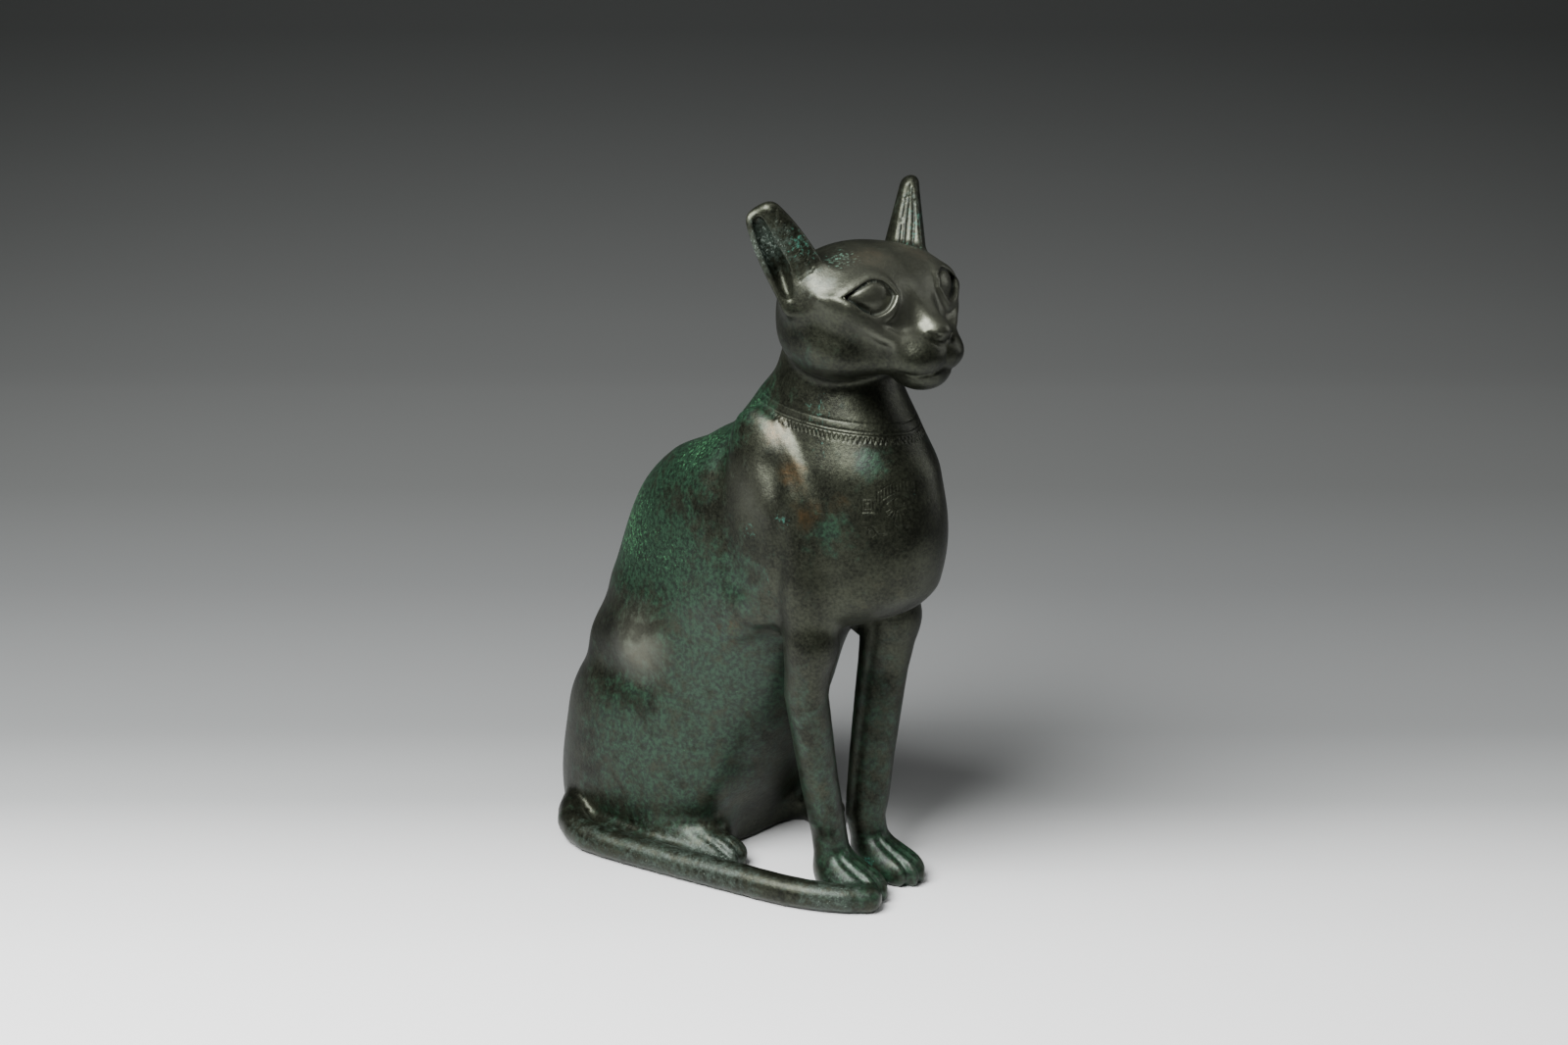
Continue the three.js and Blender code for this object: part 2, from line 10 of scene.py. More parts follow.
import bmesh
import bpy
import numpy as np
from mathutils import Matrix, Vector


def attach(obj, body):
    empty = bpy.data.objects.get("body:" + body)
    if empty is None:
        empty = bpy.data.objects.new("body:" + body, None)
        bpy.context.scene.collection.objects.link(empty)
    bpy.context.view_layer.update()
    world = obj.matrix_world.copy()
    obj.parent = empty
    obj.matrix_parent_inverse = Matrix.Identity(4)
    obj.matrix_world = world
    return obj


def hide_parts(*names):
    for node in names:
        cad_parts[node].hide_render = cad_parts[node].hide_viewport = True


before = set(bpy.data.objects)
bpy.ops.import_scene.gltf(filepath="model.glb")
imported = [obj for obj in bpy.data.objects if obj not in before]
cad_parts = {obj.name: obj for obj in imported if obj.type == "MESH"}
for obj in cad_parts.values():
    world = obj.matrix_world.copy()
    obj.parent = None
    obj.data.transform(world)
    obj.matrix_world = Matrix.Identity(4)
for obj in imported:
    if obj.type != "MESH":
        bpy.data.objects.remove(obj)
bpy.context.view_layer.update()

# %% [markdown]
# ## Soft joins
# A modeller runs lumps of wax into one another with a warm tool. Blender's metaballs do that too, but
# only with a few shapes. Here each lump is a field, a function that is below zero inside the lump, and
# a soft join blends two fields over a width in millimetres. The surface is where the field is zero.

# %% Soft joins of fields


def soft_join(a, b, width):
    h = np.clip(0.5 + 0.5 * (b - a) / width, 0, 1)
    return b + (a - b) * h - width * h * (1 - h)


def soft_meet(a, b, width):
    return -soft_join(-a, -b, width)


def soft_cut(body, hollow, width):
    return soft_meet(body, -hollow, width)


# %% [markdown]
# ## Lumps, limbs and lines
# An egg is an ellipsoid. A limb is a round rod through some points, with a radius at each. An outline
# is a smooth line through some points that doesn't swing past them. All lengths are in millimetres, in
# the cat's own frame: it faces -Y, its left side is +X, and it is 320 mm tall.

# %% Eggs, limbs and outlines


def round_distance(offset, radii):
    radii = np.asarray(radii, float)
    reach = np.linalg.norm(offset / radii, axis=1)
    slope = np.linalg.norm(offset / radii ** 2, axis=1)
    return reach * (reach - 1) / np.maximum(slope, 1e-6)


def egg(centre, radii):
    return lambda p: round_distance(p - np.array(centre, float), radii)


def limb(points, radii):
    points = np.array(points, float)

    def field(p):
        nearest = np.full(len(p), np.inf)
        for start, end, thick, thick_end in zip(points, points[1:], radii, radii[1:]):
            along = end - start
            share = np.clip((p - start) @ along / (along @ along), 0, 1)
            gap = np.linalg.norm(p - start - share[:, None] * along, axis=1)
            nearest = np.minimum(nearest, gap - thick - (thick_end - thick) * share)
        return nearest

    return field


def outline(points):
    heights, values = np.array(points, float).T
    steps = np.diff(heights)
    rises = np.diff(values) / steps
    slopes = np.zeros(len(heights))
    for i, (before, after) in enumerate(zip(rises, rises[1:])):
        if before * after > 0:
            weight_before = 2 * steps[i + 1] + steps[i]
            weight_after = steps[i + 1] + 2 * steps[i]
            slopes[i + 1] = (weight_before + weight_after) / (weight_before / before + weight_after / after)

    def line(z):
        z = np.clip(z, heights[0], heights[-1])
        i = np.clip(np.searchsorted(heights, z) - 1, 0, len(steps) - 1)
        t = (z - heights[i]) / steps[i]
        pull = t * (1 - t) * steps[i] * (slopes[i] * (1 - t) - slopes[i + 1] * t)
        return values[i] + (values[i + 1] - values[i]) * t * t * (3 - 2 * t) + pull

    return line


# %% [markdown]
# ## The torso
# The body and neck are level sections, near ellipses that grow squarer towards the base. A front line,
# a back line and a half width give each section, as a sculptor's templates would.

# %% The torso field
front_line = outline([
    (-12, 18), (0, 18), (40, 3), (80, -15), (112, -29), (124, -40),
    (131, -61), (140, -77), (150, -85), (172, -89), (200, -84), (218, -74), (243, -60), (290, -56),
])
back_line = outline([
    (-12, 118), (0, 123), (30, 130), (60, 123), (80, 112), (124, 102),
    (165, 86), (190, 62), (200, 40), (218, 15), (243, -6), (290, -16),
])
half_width = outline([
    (-12, 51), (12, 52), (60, 49), (124, 44.5), (178, 41), (200, 36), (218, 29.5), (243, 23.5), (290, 20),
])
NECK_TOP = 268
# A power of 2 makes an ellipse, and a higher one a squarer section, as near the base
BODY_POWER, MORE_AT_BASE, BASE_HEIGHT = 2.2, 0.9, 50


def torso(p):
    z = p[:, 2]
    front, back, width = front_line(z), back_line(z), half_width(z)
    depth = (back - front) / 2
    power = BODY_POWER + MORE_AT_BASE * np.clip(1 - z / BASE_HEIGHT, 0, 1)
    u = np.abs(p[:, 0]) / width
    v = np.abs(p[:, 1] - (front + back) / 2) / depth
    level = np.maximum((u ** power + v ** power) ** (1 / power), 1e-6)
    slope = np.hypot(u ** (power - 1) / width, v ** (power - 1) / depth) / level ** (power - 1)
    return soft_meet((level - 1) / np.maximum(slope, 1e-6), z - NECK_TOP, 8)


# %% [markdown]
# ## Legs, feet and tail
# The masses of the legs lie on both sides alike, so the field is asked at the mirrored point. Each row
# of the list says how wide the join is and between which heights the mass matters, which saves work.
# The tail is a tapering rod along a curve, and a low ledge ties it to the haunch.

# %% Leg, foot and tail fields
TOE_PITCH, TOE_GROOVE = 5.2, 1.5


def with_toes(foot, middle, slant, wrist, tip, depth):
    """Three grooves part the four toes of a foot. They fan out and deepen from the wrist to the tip."""
    def field(p):
        x, y = p[:, 0], p[:, 1]
        share = np.clip((wrist - y) / (wrist - tip), 0, 1.2)
        pitch = TOE_PITCH * (0.68 + 0.36 * share)
        across = (x - middle - slant * (y - tip)) / pitch
        gap = (across - np.clip(np.round(across), -1, 1)) * pitch
        return foot(p) + depth * np.sqrt(share) * np.exp(-(gap / TOE_GROOVE) ** 2)

    return field


def joined(parts, width):
    return lambda p: soft_join(parts[0](p), parts[1](p), width)


PAW = with_toes(
    joined((egg((13.2, -57, 5), (11.6, 19, 10.5)), egg((13, -48, 8), (9.5, 13, 11))), 5),
    middle=13.2, slant=0, wrist=-44, tip=-76, depth=2.2)
HIND_FOOT = with_toes(
    joined((limb([(41, 38, 9), (35.5, 9, 7)], (10.5, 9)), egg((34.2, 5, 6), (9.8, 11, 8.6))), 3),
    middle=34, slant=0.12, wrist=28, tip=-6, depth=2)
LEG_ROUTE = [(12.8, -44, 12), (12.6, -41, 26), (18.3, -39.5, 55), (26, -39, 97), (27, -42.5, 122)]
round_leg = limb(LEG_ROUTE, (8.53, 8.2, 8.8, 9.89, 11.5))
leg_x = outline([(z, x) for x, y, z in LEG_ROUTE])
leg_y = outline([(z, y) for x, y, z in LEG_ROUTE])
LEG_WIDE = np.array((0.7, -0.714, 0))
# How oval the leg is, the height where that starts, and how far up it grows
LEG_OVAL, OVAL_FROM, OVAL_GROWTH = 1.2, 12, 20


def foreleg(p):
    """A leg of oval section, widest towards the front and the outside."""
    z = p[:, 2]
    forward = LEG_WIDE[0] * (p[:, 0] - leg_x(z)) + LEG_WIDE[1] * (p[:, 1] - leg_y(z))
    pull = forward * np.clip((z - OVAL_FROM) / OVAL_GROWTH, 0, 1) * (1 - 1 / LEG_OVAL)
    return round_leg(p - pull[:, None] * LEG_WIDE)


def leaning(part, lean, pivot):
    """A part whose points above the pivot lie further back, in proportion."""
    def field(p):
        upright = p.copy()
        upright[:, 1] -= lean * (p[:, 2] - pivot)
        return part(upright)

    return field


# Field, width of its join, and the heights between which it matters
MASSES = [
    (leaning(egg((29.5, -25, 178), (12.5, 27, 46)), 0.28, 178), 4, 120, 236),
    (limb([(26.5, -36, 186), (27.5, -41, 152), (27, -43, 120)], (12.5, 13.5, 11.5)), 8, 90, 205),
    (foreleg, 5, -20, 145),
    (PAW, 4, -20, 36),
    (egg((31, 62, 48), (20, 52, 50)), 10, -20, 120),
    (limb([(34, 54, 101), (28, 88, 95)], (9.5, 7.5)), 16, 60, 135),
    (egg((29, 31, 10), (13, 20, 12.5)), 8, -20, 50),
    (HIND_FOOT, 5, -20, 40),
]
LEDGE = limb(
    [(-44, 88, 3), (-55, 66, 2.5), (-52, 38, 2.5), (-46.5, 12, 2.5), (-43.5, -2, 2.5)],
    (7, 8, 8, 7, 6.5))
TAIL_ROUTE = np.array([
    (0, 110, 10), (-25, 108, 9), (-46, 97, 8), (-61, 84, 7), (-67, 67, 6.5), (-64.5, 49, 6.4),
    (-60, 30, 6.3), (-54.5, 8, 6.2), (-48, -17, 6.2), (-41, -42, 6.1), (-31, -62, 6), (-21, -73, 5.6),
], float)
TAIL_THICKNESS = 14


def smooth_route(points, steps):
    """Even points along a Catmull-Rom curve through the given ones."""
    padded = np.vstack([2 * points[0] - points[1], points, 2 * points[-1] - points[-2]])
    fine = []
    for a, b, c, d in zip(padded, padded[1:], padded[2:], padded[3:]):
        for t in np.arange(20) / 20:
            pull = (c - a) * t + (2 * a - 5 * b + 4 * c - d) * t ** 2 + (3 * b - a - 3 * c + d) * t ** 3
            fine.append(b + pull / 2)
    fine = np.array(fine + [points[-1]])
    length = np.append(0, np.cumsum(np.linalg.norm(np.diff(fine, axis=0), axis=1)))
    even = np.linspace(0, length[-1], steps + 1)
    return np.stack([np.interp(even, length, fine[:, axis]) for axis in range(3)], 1)


along_tail = np.linspace(0, 1, 25)
# The root is half as thick again, and the end a little thinner
tail_radii = TAIL_THICKNESS / 2 * (
    1 + 0.55 * np.maximum(1 - 2.4 * along_tail, 0) ** 1.5 - 0.1 * np.maximum(5 * along_tail - 4, 0))
TAIL = limb(smooth_route(TAIL_ROUTE, 24), tail_radii)
print("tail radii, mm:", tail_radii[0].round(1), "to", tail_radii[-1].round(1))

# %% [markdown]
# ## The head
# The face is broad and flat, with a sharp ridge down each cheek, a flat bridge to the nose and large
# drop-shaped eyes whose balls stand clear of the lids. The same few soft joins make all of it, so the
# planes of the face run together as they do in wax.

# %% The head field
SKULL = egg((0, -46, 272), (37, 35, 26))
# Cheeks, brows and muzzle, each with the width of its join
FACE_MASSES = [
    (egg((19, -49, 259.5), (19.5, 27, 18)), 10),
    (egg((17, -56, 277), (21.5, 21, 14.5)), 10),
    (egg((0, -74, 257), (17, 17, 12)), 11),
]
CHEEK_RIDGE = limb(
    [(38.5, -54, 281), (36.5, -62, 277.5), (33, -67.8, 275), (27, -73.5, 269.5), (21, -78, 265),
     (15.5, -82, 261.7), (9, -85.3, 260.4)],
    (0.2, 1.8, 2.7, 3, 3.2, 3.1, 2.2))
# Cheek ridge, upper lip, whisker pads, chin and tip of the nose
SNOUT = [
    (CHEEK_RIDGE, 4),
    (egg((0, -80, 255.5), (14, 12.5, 8)), 7),
    (egg((7.8, -83, 254.8), (9.4, 11, 7.4)), 7),
    (egg((0, -80.5, 246), (11, 11.5, 7.2)), 5),
    (egg((0, -88, 265.6), (5.8, 6.4, 4)), 3),
]
MOUTH = limb(
    [(0, -94, 250), (7, -92.5, 247.6), (12, -88, 246.8), (16, -84.5, 248), (20, -79, 250)],
    (0.8, 0.8, 0.7, 0.5, 0.2))
NOSTRIL = limb([(3.2, -93.4, 264), (5.6, -91.6, 264.4), (7.8, -88.8, 265.4)], (0.4, 0.8, 0.3))
PHILTRUM = limb([(0, -95.5, 261), (0, -95, 251)], (0.6, 0.6))
BRIDGE_TOP = np.array((0, -63, 288.5))
BRIDGE = np.array((0, -86.5, 265.5)) - BRIDGE_TOP
# Half its width at the top, how much it loses down to the nose, and its depth
BRIDGE_WIDTH, BRIDGE_NARROWING, BRIDGE_DEPTH = 7.2, 2, 5.2


def nose_bridge(p):
    """A bar of nearly square section, which makes the bridge flat."""
    t = np.clip((p - BRIDGE_TOP) @ BRIDGE / (BRIDGE @ BRIDGE), 0, 1)
    offset = p - BRIDGE_TOP - t[:, None] * BRIDGE
    width = BRIDGE_WIDTH - BRIDGE_NARROWING * t
    across = np.abs(offset[:, 0]) / width
    deep = np.hypot(offset[:, 1], offset[:, 2]) / BRIDGE_DEPTH
    return (np.cbrt(across ** 3 + deep ** 3) - 1) * np.minimum(width, BRIDGE_DEPTH)


def unit(vector):
    return np.array(vector, float) / np.linalg.norm(vector)


def flattened(vector, normal):
    return unit(np.array(vector, float) - np.dot(vector, normal) * normal)


EYE_CENTRE = np.array((24.5, -75.5, 281))
EYE_OUT = unit((0.27, -0.93, 0.12))
EYE_ALONG = flattened((1, 0.27, 0.04), EYE_OUT)
EYE_UP = np.cross(EYE_ALONG, EYE_OUT)
# The left eye lies a little nearer to the nose than the right one
LEFT_EYE_SHIFT = np.array((-3, -0.8, 0))
# An eye is tallest a little inside its middle. From there it runs to the outer and the inner corner
TALLEST_AT, TO_OUTER_CORNER, TO_INNER_CORNER = -0.5, 13, 9.5
UPPER_LID, LOWER_LID = 7.2, 6.6
EYEBALL_AT, EYEBALL = np.array((-1.2, 0, -9.2)), (12, 9.4, 9.8)
SOCKET_DEPTH, EYE_GAP, BEHIND_EYE = 1.8, 0.9, 12
# The raised rim: how far outside the drop and inside the face it runs, its radius, and more at the brow
RIM_OUTSIDE, RIM_INSIDE, RIM_RADIUS, RIM_AT_BROW = 1.6, 0.9, 1.5, 0.6


def eye_places(p):
    """How far points lie along their eye, above its middle, in front of it and outside its drop."""
    left = p[:, :1] > 0
    offset = np.where(left, p, p * (-1, 1, 1)) - EYE_CENTRE - left * LEFT_EYE_SHIFT
    along, up, out = offset @ EYE_ALONG, offset @ EYE_UP, offset @ EYE_OUT
    outer = along > TALLEST_AT
    length = np.where(outer, TO_OUTER_CORNER, TO_INNER_CORNER)
    to_corner = np.minimum(np.abs(along - TALLEST_AT) / length, 1.4)
    lid = np.where(up > 0, UPPER_LID, LOWER_LID) * (1 - to_corner ** np.where(outer, 1.4, 2.8))
    return along, up, out, (np.abs(up) - lid) * 0.85


def with_eyes(p, face):
    along, up, out, drop = eye_places(p)
    behind = -out - BEHIND_EYE
    socket = soft_meet(soft_meet(behind, drop, 0.8), -(face + SOCKET_DEPTH), 0.8)
    brow = RIM_AT_BROW * np.clip(up / 3 + 0.5, 0, 1)
    rim = np.hypot(drop - RIM_OUTSIDE - brow, face + RIM_INSIDE + brow / 2) - RIM_RADIUS - brow
    rim = np.maximum(rim, behind)
    ball = round_distance(np.stack([along, up, out], 1) - EYEBALL_AT, EYEBALL)
    form = soft_cut(soft_join(face, rim, 3), socket, 0.8)
    return soft_join(form, soft_meet(ball, drop + EYE_GAP, 1.2), 0.9)


def head(p, mirrored):
    face = SKULL(p)
    for part, width in FACE_MASSES:
        face = soft_join(face, part(mirrored), width)
    face = soft_join(face, nose_bridge(p), 4)
    for part, width in SNOUT:
        face = soft_join(face, part(mirrored), width)
    face = with_eyes(p, face)
    for cut, width in ((MOUTH, 1.2), (NOSTRIL, 0.8), (PHILTRUM, 1.2)):
        face = soft_cut(face, cut(mirrored), width)
    return face


# %% [markdown]
# ## The ears
# Each ear is a leaf with a round back. Its hollow lies along the outer third, beside a raised panel
# that stands for the fur. The right ear has lost its tip, and stays so.

# %% The ear field
EAR_FOOT = np.array((34.5, -44, 283))
EAR_TIP = np.array((50, -31, 319))
EAR_LENGTH = np.linalg.norm(EAR_TIP - EAR_FOOT)
EAR_AXIS = unit(EAR_TIP - EAR_FOOT)
EAR_FACE = flattened((0.6, -0.8, 0), EAR_AXIS)
EAR_SIDE = np.cross(EAR_AXIS, EAR_FACE)
EAR_WALL = 2.6
WHOLE_EAR, BROKEN_EAR = 1, 0.92
# Height of the fur in mm, and its place and its spread as shares of half the ear's width
FUR_HEIGHT, FUR_AT, FUR_SPREAD = 2.2, -0.42, 0.5


def half_round(across, out, width, depth):
    reach = np.hypot(across / width, out / depth)
    slope = np.hypot(across / width ** 2, out / depth ** 2)
    return reach * (reach - 1) / np.maximum(slope, 1e-6)


def ear_width(share):
    """Half the width of an ear at a share of its height."""
    return 12.2 - 1.5 * share - 5.4 * share ** 3


def ear_front(share):
    """How far an ear's face lies in front of its axis."""
    return 5.5 - 5 * share


def fur_rise(across, width):
    return FUR_HEIGHT * np.exp(-((across - FUR_AT * width) / (FUR_SPREAD * width)) ** 2)


def ear_places(mirrored):
    """How far points lie up an ear as a share, across it and in front of its face, and its half sizes."""
    offset = mirrored - EAR_FOOT
    share = offset @ EAR_AXIS / EAR_LENGTH
    t = np.clip(share, -0.2, 1.1)
    return share, offset @ EAR_SIDE, offset @ EAR_FACE - ear_front(t), ear_width(t), 19.5 - 14.3 * t


def ear(mirrored, kept):
    """A leaf with a round back, cut off at both ends, less its hollow."""
    share, across, out, width, depth = ear_places(mirrored)
    leaf = soft_meet(half_round(across, out, width, depth), out - fur_rise(across, width), 1.8)
    leaf = soft_meet(leaf, (share - kept) * EAR_LENGTH, 4)
    leaf = soft_meet(leaf, (-0.16 - share) * EAR_LENGTH, 4)
    hollow_width = np.maximum((0.47 * width - EAR_WALL / 2) * np.clip(0.55 + 1.6 * share, 0.3, 1), 1.5)
    hollow_depth = np.maximum(0.62 * depth - EAR_WALL, 2.2) * np.clip(0.5 + 2 * share, 0.3, 1)
    hollow = half_round(across - (width - EAR_WALL - hollow_width), out, hollow_width, hollow_depth)
    hollow = soft_meet(hollow, (share - kept + 0.07) * EAR_LENGTH, 4)
    hollow = soft_meet(hollow, (-0.08 - share) * EAR_LENGTH, 4)
    return soft_cut(leaf, hollow, 0.9)


# %% [markdown]
# ## Strokes of the modelling tool
# A thumb or a rounded tool leaves soft grooves and ridges: the edge of the shoulder blade, the furrow
# behind it, the bump of the hip. Each is a route near the surface, along which the field is raised for a
# groove or lowered for a ridge, by a depth in millimetres that dies away over a width.

# %% Soft grooves and ridges


class Route:
    """The distance to a line through some points, and the heights between which they lie."""

    def __init__(self, points):
        heights = [z for x, y, z in points]
        self.distance = limb(points, [0] * len(points))
        self.middle = (min(heights) + max(heights)) / 2
        self.reach = (max(heights) - min(heights)) / 2


# Route, depth in mm (below zero it is a ridge) and width in mm
MODELLING = [
    (Route([(30.5, -25.5, 221), (34.4, -42.2, 203), (34.7, -52.2, 183), (32.5, -56, 164)]), -1.1, 2.4),
    (Route([(40, -30, 203), (42.5, -37, 184), (43, -37, 160), (41.5, -34, 140), (39.5, -32, 118)]),
     2.0, 4.5),
    (Route([(26, 7, 212), (34, 6, 195), (40, 2, 178), (42, -5, 161), (42, -10, 145)]), 2.0, 7),
    (Route([(45, 40, 110), (46, 56, 103)]), -2.5, 9),
    (Route([(49, 46, 84), (45, 76, 84)]), 1.6, 9),
    (Route([(40, -6, 121), (39, -22, 123)]), -2.2, 6),
    (Route([(40, -22, 194), (40, -28, 186)]), -1.5, 9),
    (Route([(0, 26, 211), (14, 20, 210), (26, 10, 208)]), 2.2, 7),
    (Route([(8, 2, 229), (22, -6, 228)]), -1.5, 9),
    (Route([(37, -57, 268), (31, -68, 261), (23, -76, 255.5)]), 1.6, 6),
    (Route([(30, -73, 275), (24, -78, 270.5), (17, -82.5, 266.5)]), 0.9, 3),
    (Route([(7.5, -89.5, 262), (4, -93, 261.4), (0, -94.5, 261)]), 0.9, 1.3),
    (Route([(34, -67, 275.5), (27, -74, 269.5), (21, -79, 265), (14, -83, 261.5)]), -1.3, 2.2),
]

# %% [markdown]
# ## The whole cat
# One function joins everything. It asks for the head only near the head and for the legs only near the
# legs, because a hundred thousand points are asked many times over.

# %% The cat field
TAIL_BELOW, HEAD_FROM = 40, 225
LEDGE_JOIN, TAIL_JOIN, HEAD_JOIN = 3, 2, 6
# An ear runs softly into the skull at its foot, and more tightly above this height
EAR_FREE_FROM, EAR_JOIN_AT_FOOT, EAR_JOIN_ABOVE = 284, 9, 3


def on_left_side(p):
    """The points, with those of the cat's right side mirrored to its left."""
    return np.column_stack([np.abs(p[:, 0]), p[:, 1:]])


def cat(p):
    mirrored = on_left_side(p)
    form = torso(p)
    for part, width, low, high in MASSES:
        near = (p[:, 2] > low) & (p[:, 2] < high)
        form[near] = soft_join(form[near], part(mirrored[near]), width)
    low = p[:, 2] < TAIL_BELOW
    form[low] = soft_join(form[low], LEDGE(p[low]), LEDGE_JOIN)
    form[low] = soft_join(form[low], TAIL(p[low]), TAIL_JOIN)
    high = p[:, 2] > HEAD_FROM
    q, m = p[high], mirrored[high]
    form[high] = soft_join(form[high], head(q, m), HEAD_JOIN)
    kept = np.where(q[:, 0] > 0, WHOLE_EAR, BROKEN_EAR)
    ear_join = EAR_JOIN_AT_FOOT - (q[:, 2] - EAR_FREE_FROM) * 0.4
    form[high] = soft_join(form[high], ear(m, kept), np.clip(ear_join, EAR_JOIN_ABOVE, EAR_JOIN_AT_FOOT))
    for route, depth, width in MODELLING:
        near = np.abs(p[:, 2] - route.middle) < route.reach + 3 * width
        form[near] += depth * np.exp(-(route.distance(mirrored[near]) / width) ** 2)
    return form


def slope_of(field, points):
    """A field at some points, and how it rises there along X, Y and Z."""
    step = 0.05
    here = field(points)
    slope = np.stack([(field(points + step * axis) - here) / step for axis in np.eye(3)], 1)
    return here, slope


def settle(points, turns=3):
    """Moves points along the field's slope to where it is zero."""
    for _ in range(turns):
        here, slope = slope_of(cat, points)
        move = here / np.maximum((slope ** 2).sum(1), 0.25)
        points = points - np.clip(move, -1.5, 1.5)[:, None] * slope
    return points


# %% [markdown]
# ## Where the cat stands
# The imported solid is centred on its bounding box, and the field isn't. The shift between the two is the
# one that brings the solid's own corners onto the field's zero, found by a few least-squares steps.

# %% Find the shift from the cat's frame to the part's


def read_corners(mesh, value="co"):
    """The places of a mesh's corners, or another value of theirs, as an array."""
    numbers = np.empty(3 * len(mesh.vertices))
    mesh.vertices.foreach_get(value, numbers)
    return numbers.reshape(-1, 3)


cad_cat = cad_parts["cat_figure"]
corners = read_corners(cad_cat.data) * 1000
# Every eleventh corner above the underside is enough
corners = corners[corners[:, 2] > 1][::11]

shift = np.array((0.0, -10.0, 0.0))
for turn in range(12):
    here, slope = slope_of(cat, corners - shift)
    near = np.abs(here) < 12
    shift[:2] += np.linalg.lstsq(slope[near, :2], here[near], rcond=None)[0]
print("shift, mm:", shift.round(3), "left over, mm:", np.abs(here).mean().round(3))


def to_part(points):
    return (np.asarray(points, float) + shift) / 1000


# %% [markdown]
# ## The photographer's view
# The camera looks at the cat's right front quarter from a little above, from about a metre away. Its
# focal length in the picture's pixels gives the lens.

# %% Camera
PICTURE_WIDTH = 1600
FOCAL_PIXELS = 2110
CAMERA_AZIMUTH, CAMERA_ELEVATION, CAMERA_DISTANCE = -46, 16.8, 950
LOOK_AT = (0, 0, 163)


def around(azimuth, elevation, distance, centre=LOOK_AT):
    """A place in the part's frame, in metres. Azimuth 0 looks along +Y, and lengths are in mm."""
    a, e = math.radians(azimuth), math.radians(elevation)
    back = np.array((math.sin(a) * math.cos(e), -math.cos(a) * math.cos(e), math.sin(e)))
    return Vector(to_part(np.array(centre) + distance * back))


def look(thing, place, target):
    thing.location = place
    thing.rotation_euler = (target - place).to_track_quat("-Z", "Y").to_euler()
    bpy.context.scene.collection.objects.link(thing)


lens = bpy.data.cameras.new("camera")
lens.sensor_width = 36
lens.lens = FOCAL_PIXELS / PICTURE_WIDTH * lens.sensor_width
lens.clip_start = 0.05
camera = bpy.data.objects.new("camera", lens)
look(camera, around(CAMERA_AZIMUTH, CAMERA_ELEVATION, CAMERA_DISTANCE), Vector(to_part(LOOK_AT)))
bpy.context.scene.camera = camera
print("lens, mm:", round(lens.lens, 1))

# %% [markdown]
# ## One function for nodes, one for colours
# Materials and Geometry Nodes are both trees. One small function adds a node with its settings, values
# and links. Colours are written as on the web, in sRGB, and Blender wants them linear.

# %% Helpers for node trees


def add(tree, kind, values=None, **settings):
    made = tree.nodes.new(kind)
    for name, value in settings.items():
        setattr(made, name, value)
    for socket, value in (values or {}).items():
        if isinstance(value, bpy.types.NodeSocket):
            tree.links.new(value, made.inputs[socket])
        else:
            made.inputs[socket].default_value = value
    return made


def colour(code):
    """Linear colour of an sRGB hex code."""
    parts = [int(code[i:i + 2], 16) / 255 for i in (1, 3, 5)]
    return tuple(c / 12.92 if c <= 0.04045 else ((c + 0.055) / 1.055) ** 2.4 for c in parts) + (1,)


def new_material(name):
    material = bpy.data.materials.new(name)
    material.use_nodes = True
    return material, material.node_tree, material.node_tree.nodes["Principled BSDF"]


# %% [markdown]
# ## The floor
# The cat stands on pale paper that sweeps up behind it. Studio paper like this is bright in a pool of
# light and falls off to grey round it, and what the dark sides of the bronze mirror is the grey. A lamp
# with a flag would do that too, but it would also change the cat, so the pool of light and its falloff
# are painted into the paper's colour. Each corner of the sweep carries its run, a length from front to
# back, and how far aside it lies.

# %% Sweep of paper
FLOOR_FRONT, FLOOR_BACK, SWEEP_RADIUS, SWEEP_TOP = 1.4, 1.0, 1.0, 2.6
SWEEP_COLUMNS = (-3.5, -1.2, -0.9, -0.7, -0.55, -0.4, 0.4, 0.55, 0.7, 0.9, 1.2, 3.5)
# How much the pool of light widens with the run, where it starts to fade aside and where it has ended,
# in metres, and the share of the paper's tone that is left outside it
POOL_SPREAD, POOL_FADES, POOL_ENDS, OUTSIDE_POOL = 0.5, 0.42, 0.9, 0.2


def sweep_profile():
    """Level reach, height and run of points along the sweep, from its front edge, in metres."""
    turns = [math.radians(a) for a in range(0, 91, 3)]
    profile = [(-FLOOR_FRONT, 0)] + [(0.05 * i - 0.8, 0) for i in range(36)]
    profile += [(FLOOR_BACK + SWEEP_RADIUS * math.sin(a), SWEEP_RADIUS * (1 - math.cos(a))) for a in turns]
    profile += [(FLOOR_BACK + SWEEP_RADIUS, SWEEP_TOP)]
    runs = [-FLOOR_FRONT]
    for (reach, height), (reach_next, height_next) in zip(profile, profile[1:]):
        runs.append(runs[-1] + math.hypot(reach_next - reach, height_next - height))
    return profile, runs


